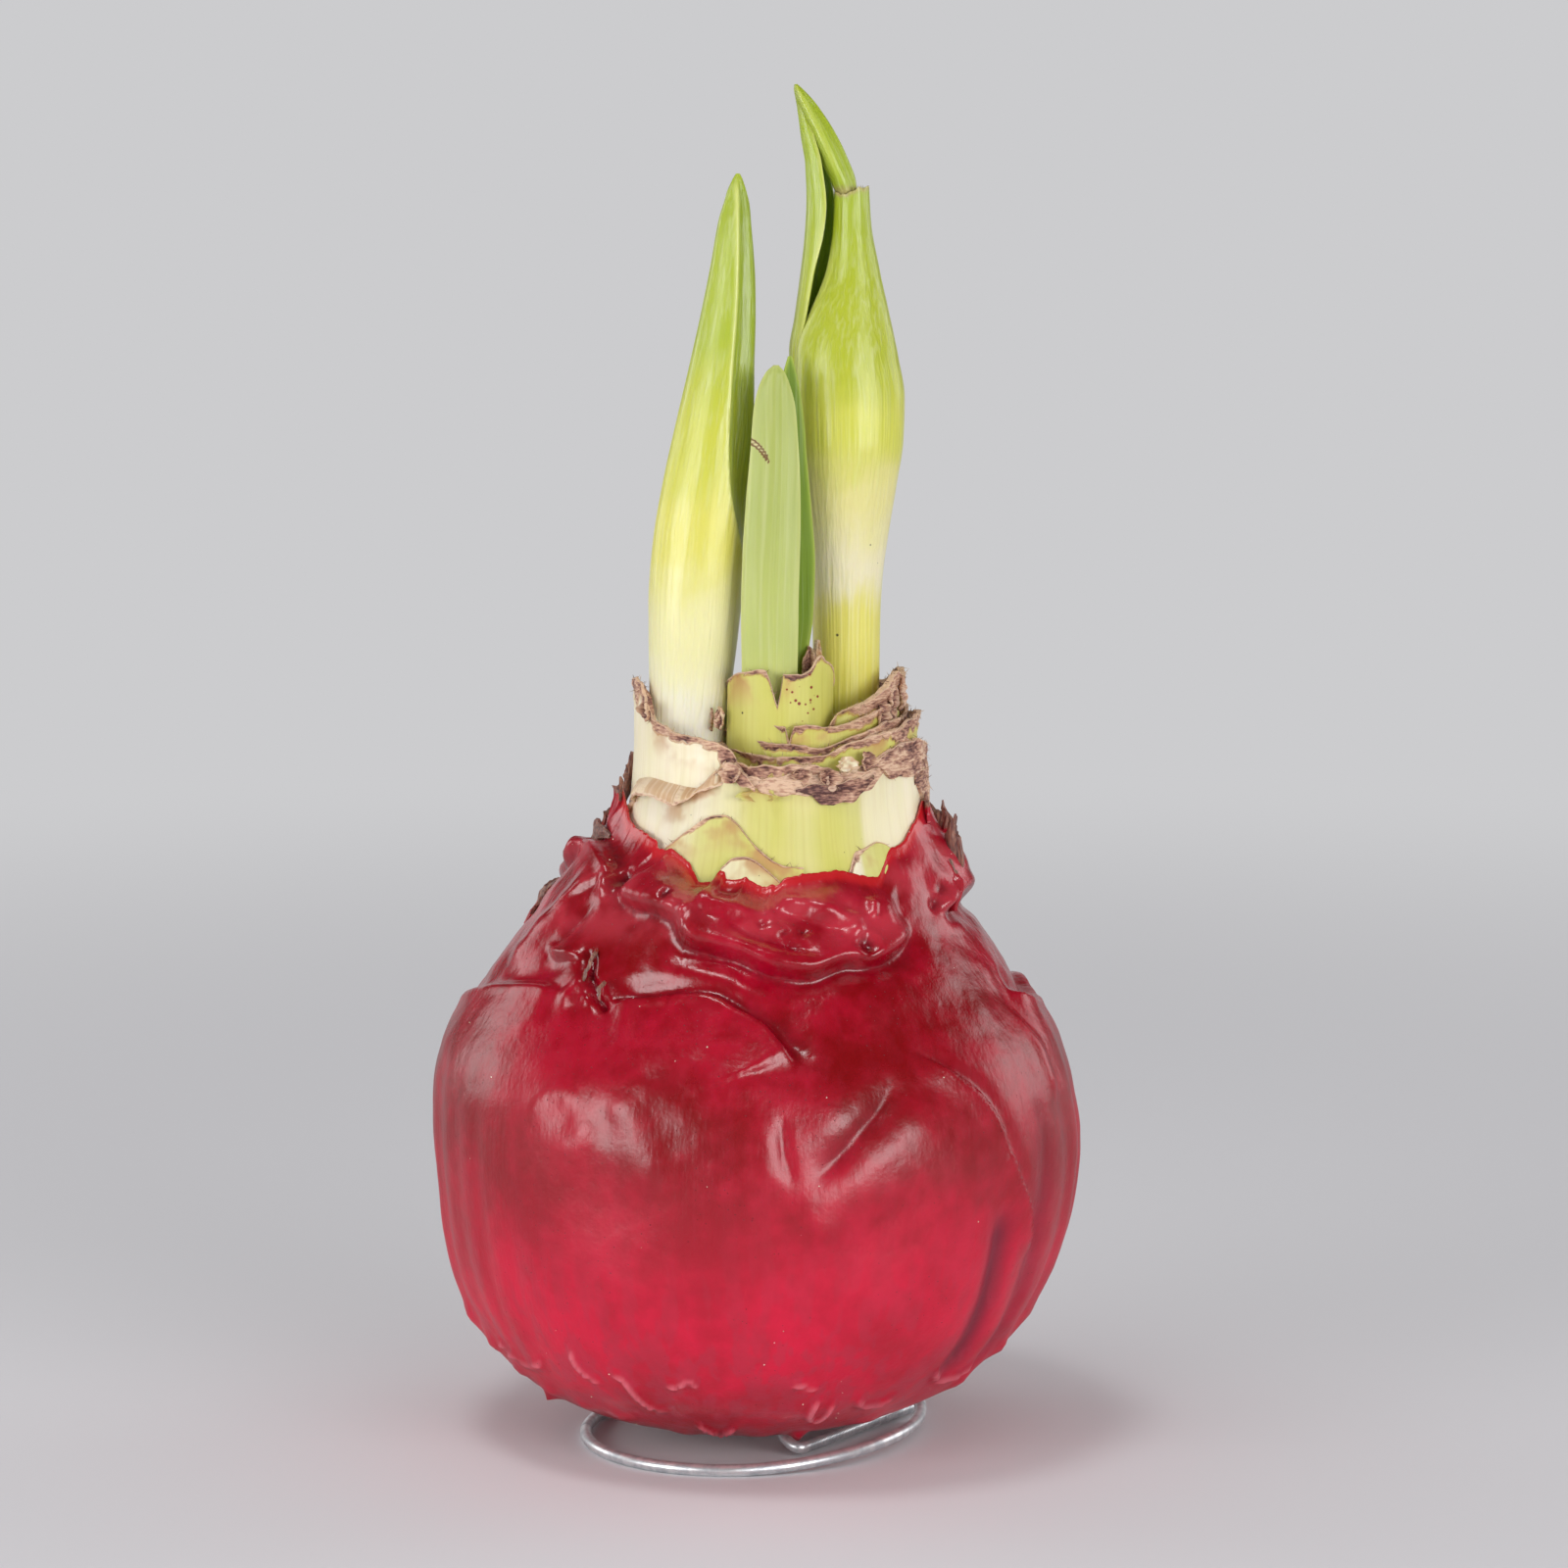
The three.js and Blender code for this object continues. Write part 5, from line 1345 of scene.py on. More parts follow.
        # the inside of the wall, painted in shade
        inner = np.concatenate([np.zeros(count), np.ones(count)])
        margin = (hump(share - 1, 0.045) + 0 * outer).ravel()
        shape.values = {
            "inner": inner, "margin": np.concatenate([margin, 0.6 * margin]),
            "place": np.concatenate([place.reshape(-1, 3)] * 2),
        }
        return shape

    def fibres(self) -> Shape:
        """Torn fibres across the snap."""
        rng = np.random.default_rng(self.seed + 4)
        made = []
        for _ in range(self.fibre_count):
            at = np.array([rng.uniform(*self.fibre_x), rng.uniform(*self.fibre_y), self.fibre_z])
            way = np.array([rng.uniform(-0.5, 0.3), rng.uniform(-0.35, 0.1), rng.uniform(0.5, 1.1)])
            length = rng.uniform(0.4, 1.1)
            t = np.linspace(0, 1, 5)[:, None, None]
            turn = np.radians(np.linspace(-180, 180, 5, endpoint=False))
            ring = np.stack([np.sin(turn), -np.cos(turn), 0 * turn], -1)[None]
            rings = at + way * length * t + ring * (0.09 * (1 - 0.8 * t))
            made.append(closed_tube(rings, {"torn": np.ones(rings.shape[:2]), "place": rings}))
        return join_all(made)


class LeafKind(Enum):
    """The two young leaves."""

    FRONT = "front_leaf"
    BACK = "back_leaf"


@dataclass
class StrapLeaf:
    """A young leaf: a thin curved blade."""

    kind: LeafKind
    stations: Stations
    turn: float
    thickness: float
    rows: int = 130
    columns: int = 34
    seed: int = 41

    def shape(self) -> Shape:
        """Builds the blade with its thin margins."""
        noise = Noise(self.seed)
        z = levels(self.stations[0][0], self.stations[-1][0], self.rows, 1.5)[:, None]
        x, y, wide, sag = [curve(z) for curve in station_curves(self.stations)]
        share = np.sin(np.linspace(-1, 1, self.columns) * math.pi / 2)[None, :]
        angle = math.radians(self.turn)
        across = np.array([math.cos(angle), math.sin(angle), 0.0])
        normal = np.array([math.sin(angle), -math.cos(angle), 0.0])
        height = z + 0 * share
        place = np.stack([share * wide, 0 * height, height], -1)
        ribs = 0.03 * noise.fractal(place * (1, 1, 0.02), 0.7, 2)
        wave = 0.22 * noise.line(height, 15, 1) * share + 0.1 * noise.fractal(place * (0.6, 1, 0.2), 6, 1)
        thin = self.thickness * (1 - 0.72 * np.abs(share) ** 2.6) * np.minimum(1, wide / 1.4)
        scar = self.scar(x + share * wide, height)
        bow = wave - sag * share**2
        middle = np.stack(np.broadcast_arrays(x, y, height), -1) + across * (share * wide)[..., None]
        front = middle + normal * (bow + ribs - 0.12 * scar + thin / 2)[..., None]
        back = middle + normal * (bow - thin / 2)[..., None]
        margin = hump((1 - np.abs(share)) * wide, 0.38)
        shape = closed_sheet(front, back, {"margin": margin, "place": place, "scar": scar})
        count = height.size
        # the front face, inside the leaf's channel, painted in shade
        shape.values["inner"] = np.concatenate([np.ones(count), np.zeros(count)])
        shape.values["scar"][count:] = 0
        return shape

    def scar(self, x: Array, z: Array) -> Array:
        """Mask of the healed nick on the front leaf."""
        if self.kind is not LeafKind.FRONT:
            return 0 * x
        t = np.clip((x + 1.1) / 3.2, 0, 1)
        line = 142.6 - 3.4 * t + 0.7 * np.sin(math.pi * t)
        return hump(z - line, 0.36) * band(x, -1.6, -0.8, 1.2, 2.2)


# ---- the wire stand
@dataclass
class WireStand:
    """A bent wire: an oval ring, a bar across under the bulb, and a prong up into it."""

    wire_diameter: float = 1.7
    ring_size: Pair = (55.7, 47.7)
    ring_middle: Pair = (-0.4, -1.5)
    ring_turn: float = -118.0
    ring_ends: Pair = (14.0, -320.0)
    ring_rise: Path = ((-320, 0), (-100, 0), (-60, 0.7), (-35, 1.15), (0, 1.4), (14, 1.9))
    bar: tuple[Triple, Triple] = ((23, 8.4, 1.3), (6.6, -16.6, 1.35))
    prong: Triple = (3.4, -13.6, 15.0)
    prong_foot: float = 4.0
    sides: int = 20

    def ring_point(self, degrees: Array) -> Array:
        """Points of the ring's centre line at degrees from +X."""
        long, wide = [(size - self.wire_diameter) / 2 for size in self.ring_size]
        turned = np.radians(degrees - self.ring_turn)
        radius = long * wide / np.hypot(wide * np.cos(turned), long * np.sin(turned))
        turn = np.radians(degrees)
        return np.stack([
            self.ring_middle[0] + radius * np.cos(turn), self.ring_middle[1] + radius * np.sin(turn),
            self.wire_diameter / 2 + Curve(self.ring_rise)(degrees),
        ], -1)

    @staticmethod
    def bend(start: Array, leaving: Array, end: Array, arriving: Array) -> Array:
        """Points of a smooth bend between two points."""
        return hermite(np.linspace(0, 1, 15)[1:, None], start, 3 * leaving, end, 3 * arriving)

    def path(self) -> Array:
        """The wire's centre line."""
        ring = self.ring_point(np.linspace(*self.ring_ends, 240))
        way = ring[-1] - ring[-2]
        way /= np.linalg.norm(way)
        outer, inner = np.array(self.bar[0]), np.array(self.bar[1])
        bar_way = (inner - outer) / np.linalg.norm(inner - outer)
        foot = np.array([*self.prong[:2], self.prong_foot])
        up = np.array([0.0, 0.0, 1.0])
        straight = outer + (inner - outer) * np.linspace(0, 1, 60)[1:, None]
        prong = foot + (self.prong[2] - self.prong_foot) * up * np.linspace(0, 1, 8)[1:, None]
        return np.concatenate([
            ring, self.bend(ring[-1], way * 4, outer, bar_way * 3), straight,
            self.bend(inner, bar_way * 2, foot, up * 2), prong,
        ])

    def bar_span(self) -> Pair:
        """Shares of the wire's run at which its straight bar starts and ends."""
        path = self.path()
        run = travelled(path)
        ends = [np.argmin(np.linalg.norm(path - np.array(end), axis=1)) for end in self.bar]
        return run[ends[0]] / run[-1], run[ends[1]] / run[-1]


# ---- node trees
class NodeBench:
    """Adds and joins nodes in one tree."""

    def __init__(self, tree: Tree) -> None:
        """Opens the bench.

        Args:
            tree: The tree to work in.
        """
        self.tree = tree

    def feed(self, socket: Socket, value: object) -> None:
        """Links a socket to another, or sets its value."""
        if isinstance(value, Socket):
            self.tree.links.new(value, socket)
        else:
            socket.default_value = value

    def add(self, kind: str, inputs: Inputs | None = None, **settings: object) -> bpy.types.Node:
        """Adds a node.

        Args:
            kind: The node's type name.
            inputs: Values or sockets for its inputs, by name or number.
            **settings: The node's own properties.

        Returns:
            The node.
        """
        node = self.tree.nodes.new(kind)
        for name, value in settings.items():
            setattr(node, name, value)
        for key, value in (inputs or {}).items():
            self.feed(node.inputs[key], value)
        return node

    def math(self, operation: str, a: object, b: object = 0.0, c: object = 0.0) -> Socket:
        """A sum, product or other operation on numbers."""
        return self.add("ShaderNodeMath", {0: a, 1: b, 2: c}, operation=operation).outputs[0]

    def times(self, a: object, b: object) -> Socket:
        """The product of two numbers."""
        return self.math("MULTIPLY", a, b)

    def plus(self, a: object, b: object) -> Socket:
        """The sum of two numbers."""
        return self.math("ADD", a, b)

    def minus(self, a: object, b: object) -> Socket:
        """One number less another."""
        return self.math("SUBTRACT", a, b)

    def over(self, a: object, b: object) -> Socket:
        """One number divided by another."""
        return self.math("DIVIDE", a, b)

    def times_plus(self, a: object, b: object, c: object) -> Socket:
        """The product of two numbers and a third added."""
        return self.math("MULTIPLY_ADD", a, b, c)

    def mix(self, share: object, a: object, b: object) -> Socket:
        """Two colours mixed by a share."""
        return self.add("ShaderNodeMix", {0: share, 6: a, 7: b}, data_type="RGBA").outputs[2]

    def between(self, value: object, low: float, high: float, first: float = 0, last: float = 1) -> Socket:
        """A number eased from one span to another."""
        spans = {0: value, 1: low, 2: high, 3: first, 4: last}
        return self.add("ShaderNodeMapRange", spans, interpolation_type="SMOOTHSTEP").outputs[0]

    def ramp(self, value: object, stops: Stops) -> Socket:
        """Colours laid along a number from 0 to 1."""
        node = self.add("ShaderNodeValToRGB", {0: value})
        shades = node.color_ramp
        shades.interpolation = "EASE"
        for element, (at, colour) in zip(shades.elements, (stops[0], stops[-1])):
            element.position, element.color = at, colour
        for at, colour in stops[1:-1]:
            shades.elements.new(at).color = colour
        return node.outputs[0]

    def field(self, name: str) -> bpy.types.Node:
        """A named value of the mesh."""
        return self.add("ShaderNodeAttribute", attribute_name=name, attribute_type="GEOMETRY")

    def value(self, name: str) -> Socket:
        """A named number of the mesh."""
        return self.field(name).outputs[2]

    def vector(self, name: str) -> Socket:
        """A named place of the mesh."""
        return self.field(name).outputs["Vector"]

    def stretched(self, place: object, by: Triple) -> Socket:
        """A place scaled along each axis."""
        return self.add("ShaderNodeVectorMath", {0: place, 1: by}, operation="MULTIPLY").outputs[0]

    def apart(self, a: object, b: object) -> Socket:
        """The distance between two places."""
        return self.add("ShaderNodeVectorMath", {0: a, 1: b}, operation="DISTANCE").outputs["Value"]

    def axes(self, place: object) -> Outputs:
        """A place's X, Y and Z."""
        return self.add("ShaderNodeSeparateXYZ", {0: place}).outputs

    def object_place(self) -> Socket:
        """Object coordinates."""
        return self.add("ShaderNodeTexCoord").outputs["Object"]

    def place_mm(self) -> Socket:
        """Object coordinates in millimetres."""
        return self.stretched(self.object_place(), (1 / MM, 1 / MM, 1 / MM))


def new_group(name: str, output: str, **numbers: float) -> tuple[Tree, NodeBench, Outputs, Socket]:
    """A shader node group that turns a place into a number.

    Args:
        name: Its name.
        output: The output's name.
        **numbers: First values of its number inputs, by their names in small letters.

    Returns:
        The tree, a bench in it, the group's inputs and the socket that takes its result.
    """
    tree = bpy.data.node_groups.new(name, "ShaderNodeTree")
    face = tree.interface
    face.new_socket(name="Place", in_out="INPUT", socket_type="NodeSocketVector")
    for label, value in numbers.items():
        socket = face.new_socket(name=label.capitalize(), in_out="INPUT", socket_type="NodeSocketFloat")
        socket.default_value = value
    face.new_socket(name=output, in_out="OUTPUT", socket_type="NodeSocketFloat")
    bench = NodeBench(tree)
    return tree, bench, bench.add("NodeGroupInput").outputs, bench.add("NodeGroupOutput").inputs[0]


@dataclass(frozen=True)
class SurfaceEffects:
    """Shader groups that the finishes share."""

    grain: Tree
    specks: Tree
    striae: Tree

    @classmethod
    def build(cls) -> "SurfaceEffects":
        """Builds the groups once."""
        return cls(cls.grain_group(), cls.specks_group(), cls.striae_group())

    @staticmethod
    def grain_group() -> Tree:
        """Soft lumps of one size: Value runs from 0 to 1."""
        tree, b, given, out = new_group("soft_grain", "Value", size=1.0, detail=3.0)
        noise = b.add("ShaderNodeTexNoise", {
            "Vector": given["Place"], "Scale": b.over(1.0, given["Size"]), "Detail": given["Detail"]})
        b.feed(out, noise.outputs[0])
        return tree

    @staticmethod
    def specks_group() -> Tree:
        """Scattered dots: Mask is 1 inside a dot."""
        tree, b, given, out = new_group("scattered_specks", "Mask", spacing=2.0, radius=0.1, share=0.5)
        cells = b.add("ShaderNodeTexVoronoi", {
            "Vector": given["Place"], "Scale": b.over(1.0, given["Spacing"]), "Randomness": 1.0}).outputs
        kept = b.add("ShaderNodeSeparateColor", {0: cells["Color"]}).outputs
        chosen = b.math("LESS_THAN", kept[0], given["Share"])
        size = b.times(b.times_plus(kept[1], 0.7, 0.5), b.over(given["Radius"], given["Spacing"]))
        inside = b.minus(1.0, b.over(cells["Distance"], size))
        b.feed(out, b.times(chosen, b.between(inside, 0.0, 0.45)))
        return tree

    @staticmethod
    def striae_group() -> Tree:
        """Fine lines along the growth: Value runs from 0 to 1."""
        tree, b, given, out = new_group("growth_lines", "Value", width=0.5, stretch=20.0)
        x, y, z = b.axes(given["Place"])
        drawn = b.add("ShaderNodeCombineXYZ", {0: x, 1: y, 2: b.over(z, given["Stretch"])}).outputs[0]
        noise = b.add("ShaderNodeTexNoise", {
            "Vector": drawn, "Scale": b.over(1.0, given["Width"]), "Detail": 2.5})
        b.feed(out, b.between(noise.outputs[0], 0.25, 0.75))
        return tree


def empty_material(name: str) -> tuple[Material, NodeBench]:
    """A material without nodes, and its bench."""
    made = bpy.data.materials.new(name)
    made.use_nodes = True
    made.node_tree.nodes.clear()
    return made, NodeBench(made.node_tree)


class Finish:
    """A material in the making: its bench, its Principled shader and the shared effects."""

    def __init__(self, name: str, effects: SurfaceEffects, **settings: object) -> None:
        """Starts the material.

        Args:
            name: The material's name.
            effects: The shared groups.
            **settings: Uniform values of the shader's sockets, spaces written as underscores.
        """
        self.material, self.bench = empty_material(name)
        self.effects = effects
        self.shader = self.bench.add("ShaderNodeBsdfPrincipled")
        self.bench.add("ShaderNodeOutputMaterial", {0: self.shader.outputs[0]})
        for label, value in settings.items():
            self.shader.inputs[label.replace("_", " ")].default_value = value

    def effect(self, group: Tree, place: object, **numbers: object) -> Socket:
        """Places a shared group, with its inputs by their names in small letters."""
        inputs = {"Place": place} | {key.capitalize(): value for key, value in numbers.items()}
        return self.bench.add("ShaderNodeGroup", inputs, node_tree=group).outputs[0]

    def grain(self, place: object, size: float, detail: float = 3.0) -> Socket:
        """Soft lumps of a size in millimetres."""
        return self.effect(self.effects.grain, place, size=size, detail=detail)

    def specks(self, place: object, spacing: float, radius: float, share: object) -> Socket:
        """Scattered dots."""
        return self.effect(self.effects.specks, place, spacing=spacing, radius=radius, share=share)

    def striae(self, place: object, width: float, stretch: float = 20.0) -> Socket:
        """Fine growth lines."""
        return self.effect(self.effects.striae, place, width=width, stretch=stretch)

    def bump(self, height: object, depth_mm: float, strength: float = 1.0) -> None:
        """Feeds the shader's normal from a height of 0 to 1 that is so many millimetres deep."""
        node = self.bench.add("ShaderNodeBump", {
            "Strength": strength, "Distance": depth_mm * MM, "Height": height})
        self.bench.feed(self.shader.inputs["Normal"], node.outputs[0])

    def colour(self, value: object) -> None:
        """Feeds the shader's base colour."""
        self.bench.feed(self.shader.inputs["Base Color"], value)

    def roughness(self, value: object) -> None:
        """Feeds the shader's roughness."""
        self.bench.feed(self.shader.inputs["Roughness"], value)


# ---- finishes
@dataclass(frozen=True)
class RedWax:
    """Deep red candle wax, satin, with pores, dust and a bright thin rim, painted shade in its creases and
    grooves, painted bounce light low down and painted sheen and highlights.
    """

    deep: tuple = tint(124, 0, 6)
    bright: tuple = tint(214, 0, 56)
    collar_sheen: tuple = tint(206, 70, 84)
    sheen_streak: tuple = tint(164, 44, 66)
    curl_highlight: tuple = tint(222, 112, 126)
    # painted shade in creases and under lips, and also the colour of the pores
    shade_and_pores: tuple = tint(72, 3, 14)
    groove_shade: tuple = tint(104, 14, 40)
    thin: tuple = tint(198, 32, 34)
    skin: tuple = tint(160, 118, 100)
    skin_dark: tuple = tint(88, 52, 52)
    dust: tuple = tint(214, 196, 180)

    def material(self, effects: SurfaceEffects) -> Material:
        """Builds the finish."""
        f = Finish("red_wax", effects, Subsurface_Weight=0.1, Subsurface_Radius=(1.0, 0.1, 0.06),
                   Subsurface_Scale=0.002, Coat_Weight=0.05, Coat_Roughness=0.14, IOR=1.55)
        b = f.bench
        place = b.place_mm()
        cloud, fine = f.grain(place, 17.0, 2.0), f.grain(place, 2.6, 4.0)
        high = b.axes(place)[2]
        # clouded red, with painted bounce light from the floor that brightens it low down, less so at the
        # very bottom
        tone = b.times_plus(fine, 0.3, b.times(cloud, 0.6))
        glow = b.times(b.between(high, 20.0, 56.0, 0.52, 0.0), b.between(high, 0.0, 24.0, 0.4, 1.0))
        tone = b.plus(b.between(tone, 0.3, 0.62, 0.0, 0.42), glow)
        colour = b.mix(tone, self.deep, self.bright)
        # painted shade in the grooves, a painted sheen on the collar, painted sheen streaks low down, and
        # the thin rim
        groove_shaded = b.times(b.value("groove_shade"), b.between(cloud, 0.2, 0.7, 0.45, 0.9))
        colour = b.mix(groove_shaded, colour, self.groove_shade)
        # painted sheen on the collar
        sheen_patches = b.between(f.grain(place, 8.0, 3.0), 0.4, 0.62, 0.05, 0.42)
        colour = b.mix(b.times(b.between(high, 73.0, 77.0), sheen_patches), colour, self.collar_sheen)
        # painted sheen streaks low on the body
        sheen_streaks = b.between(f.striae(place, 2.4, 16.0), 0.42, 0.7, 0.0, 0.42)
        sheen_streaks = b.times(sheen_streaks, b.between(high, 12.0, 40.0, 1.0, 0.15))
        colour = b.mix(sheen_streaks, colour, self.sheen_streak)
        colour = b.mix(b.times(b.between(b.value("thin"), 0.35, 1.0), 0.65), colour, self.thin)
        # the strokes' marks: under 0 a painted highlight along the curls, over 0 painted shade in creases
        # and under lips, broken into crumbs
        marks = b.value("shade_crumbs_and_shine")
        colour = b.mix(b.between(marks, -0.15, -0.8, 0.0, 0.7), colour, self.curl_highlight)
        crumbly = b.between(f.grain(place, 0.9, 3.0), 0.3, 0.6, 0.35, 1.0)
        shade_crumbs_and_shine = b.times(b.math("MAXIMUM", marks, 0.0), crumbly)
        colour = b.mix(b.times(shade_crumbs_and_shine, 0.85), colour, self.shade_and_pores)
        # dry skin where it stands out of the wax
        dry = b.value("dry")
        papery = b.mix(f.striae(place, 0.35, 6.0), self.skin_dark, self.skin)
        colour = b.mix(b.between(dry, 0.15, 0.8), colour, papery)
        # clusters of pores, and dust
        cluster = b.between(f.grain(place, 11.0, 2.0), 0.46, 0.64, 0.03, 0.75)
        pores = f.specks(place, 0.62, 0.1, cluster)
        colour = b.mix(b.times(pores, 0.8), colour, self.shade_and_pores)
        dust = f.specks(place, 3.4, 0.11, 0.16)
        colour = b.mix(b.times(dust, 0.8), colour, self.dust)
        f.colour(colour)
        rough = b.times_plus(fine, 0.1, b.times_plus(cloud, 0.1, b.between(high, 42.0, 74.0, 0.25, 0.13)))
        rough = b.plus(rough, b.times(b.math("MAXIMUM", dry, pores), 0.3))
        f.roughness(rough)
        height = b.times_plus(f.grain(place, 0.75, 3.0), 0.3, b.times(fine, 0.75))
        height = b.times_plus(f.striae(place, 1.0, 9.0), 0.16, height)
        height = b.minus(height, b.times(pores, 0.35))
        height = b.times_plus(dust, 0.5, height)
        f.bump(height, 0.16, 0.8)
        return f.material


@dataclass(frozen=True)
class BulbSkinFinish:
    """Cream to green bulb flesh with brown, wrinkled, dried edges."""

    cream: tuple = tint(232, 223, 185)
    cream_warm: tuple = tint(241, 230, 205)
    green: tuple = tint(211, 202, 116)
    green_deep: tuple = tint(189, 191, 81)
    rust: tuple = tint(184, 130, 84)
    pale: tuple = tint(218, 184, 156)
    tan: tuple = tint(182, 138, 116)
    brown: tuple = tint(134, 92, 80)
    dark: tuple = tint(82, 48, 46)
    spot: tuple = tint(40, 26, 16)
    freckle: tuple = tint(132, 34, 14)
    freckled: Triple = (6.9, -12.4, 107.2)

    def material(self, effects: SurfaceEffects) -> Material:
        """Builds the finish."""
        f = Finish("bulb_flesh", effects, Subsurface_Weight=0.14, Subsurface_Radius=(1.0, 0.9, 0.4),
                   Subsurface_Scale=0.0015, IOR=1.42, Coat_Weight=0.06, Coat_Roughness=0.3)
        b = f.bench
        skin = b.vector("skin")
        place = b.place_mm()
        # fresh flesh, cream to green
        lines, wide_lines = f.striae(skin, 0.5, 30.0), f.striae(skin, 2.4, 9.0)
        blotch = f.grain(place, 6.0, 3.0)
        cream = b.mix(wide_lines, self.cream, self.cream_warm)
        green = b.mix(b.times_plus(blotch, 0.8, b.times(lines, 0.2)), self.green_deep, self.green)
        amount = b.times_plus(b.minus(wide_lines, 0.5), 0.14, b.value("green"))
        flesh = b.mix(b.between(amount, 0.05, 1.0), cream, green)
        flesh = b.mix(b.between(lines, 0.0, 0.6, 0.08, 0.0), flesh, self.rust)
        # the dried rim: brown, with painted shade in its low folds and painted light on its raised ones,
        # pale at its very edge, with a rusty seam below it
        dry, edge = b.value("dry"), b.value("edge")
        folds, crumbs = f.striae(b.stretched(skin, (0.3, 1, 1)), 0.3, 1.0), f.grain(place, 0.45, 3.0)
        shade = b.times_plus(crumbs, 0.14, b.times(folds, 0.4))
        shade = b.plus(shade, b.between(b.value("fold_shade_and_tone"), -1.2, 1.2, 0.0, 0.46))
        browns = (0.22, self.dark), (0.36, self.brown), (0.52, self.tan), (0.74, self.pale)
        papery = b.ramp(shade, browns)
        papery = b.mix(b.between(edge, 0.04, 0.22, 0.8, 0.0), papery, self.pale)
        near = b.times(b.between(edge, 0.0, 6.0, 0.8, 0.0), b.between(blotch, 0.5, 0.66))
        stained = b.mix(near, flesh, self.rust)
        seam = b.times(b.between(dry, 0.06, 0.24), b.between(dry, 0.3, 0.5, 1.0, 0.0))
        stained = b.mix(b.times(seam, 0.7), stained, self.rust)
        colour = b.mix(b.between(dry, 0.3, 0.6), stained, papery)
        # dark dots, and red freckles in one place
        dots = f.specks(place, 2.4, 0.24, 0.26)
        colour = b.mix(b.times(dots, 0.9), colour, self.spot)
        near = b.between(b.apart(place, self.freckled), 2.0, 4.0, 1.0, 0.0)
        colour = b.mix(f.specks(place, 0.8, 0.26, near), colour, self.freckle)
        f.colour(colour)
        f.roughness(b.times_plus(dry, 0.2, b.times_plus(blotch, 0.12, 0.42)))
        fresh = b.times(lines, 0.12)
        worn = b.times(b.plus(folds, crumbs), b.times(dry, 0.4))
        f.bump(b.plus(fresh, worn), 0.26, 0.8)
        return f.material


@dataclass(frozen=True)
class GreenGrowth:
    """Fresh growth, pale at the foot and green at the tip, with fine lines along it."""

    name: str
    stops: tuple[tuple[float, int, int, int], ...]
    # the colour of the painted shade on inner faces, from a given height upwards
    inner: tuple
    margin: tuple
    foot: float = 100.0
    tip: float = 180.0
    inner_shade_from: float = 100.0
    line_width: float = 0.5
    line_depth: float = 0.14
    gloss: float = 0.3
    coat: float = 0.4
    spots: float = 0.02
    pale: tuple = tint(240, 240, 205)
    torn: tuple = tint(214, 200, 138)
    torn_dark: tuple = tint(120, 84, 50)
    scar: tuple = tint(206, 190, 140)
    scar_rim: tuple = tint(112, 78, 34)
    spot: tuple = tint(54, 42, 10)

    def material(self, effects: SurfaceEffects) -> Material:
        """Builds the finish."""
        f = Finish(self.name, effects, Subsurface_Weight=0.22, Subsurface_Radius=(0.8, 1.0, 0.3),
                   Subsurface_Scale=0.0025, Coat_Weight=self.coat, Coat_Roughness=0.13, IOR=1.42)
        b = f.bench
        place, along = b.place_mm(), b.vector("place")
        height = b.axes(place)[2]
        share = b.add("ShaderNodeMapRange", {0: height, 1: self.foot, 2: self.tip}).outputs[0]
        cloud = f.grain(along, 5.0, 2.0)
        lines = f.striae(along, self.line_width, 40.0)
        wander = b.times_plus(b.minus(cloud, 0.5), 0.09, share)
        wander = b.times_plus(b.minus(lines, 0.5), 0.03, wander)
        base = b.ramp(wander, [(at, tint(*shown)) for at, *shown in self.stops])
        # painted shade on inner faces
        inner = b.times(b.value("inner"), b.between(height, self.inner_shade_from, self.inner_shade_from + 16))
        colour = b.mix(b.times(inner, b.times_plus(lines, 0.35, 0.5)), base, self.inner)
        pale = b.mix(0.35, colour, self.pale)
        colour = b.mix(b.times(b.between(lines, 0.45, 1.0), 0.4), colour, pale)
        colour = b.mix(b.times(b.value("margin"), 0.75), colour, self.margin)
        torn = b.mix(f.grain(place, 0.5, 4.0), self.torn_dark, self.torn)
        colour = b.mix(b.times(b.value("torn"), 0.8), colour, torn)
        scar = b.value("scar")
        colour = b.mix(scar, colour, self.scar)
        rim = b.times(b.between(scar, 0.1, 0.3), b.between(scar, 0.5, 0.85, 1.0, 0.0))
        colour = b.mix(rim, colour, self.scar_rim)
        if self.spots:
            share = b.times(b.between(height, 122.0, 134.0, 1.0, 0.06), self.spots)
            dots = f.specks(place, 3.1, 0.24, share)
            colour = b.mix(b.times(dots, 0.9), colour, self.spot)
        f.colour(colour)
        f.roughness(b.times_plus(cloud, 0.14, self.gloss))
        f.bump(b.times_plus(f.grain(along, 0.6, 2.0), 0.25, lines), self.line_depth, 0.7)
        return f.material


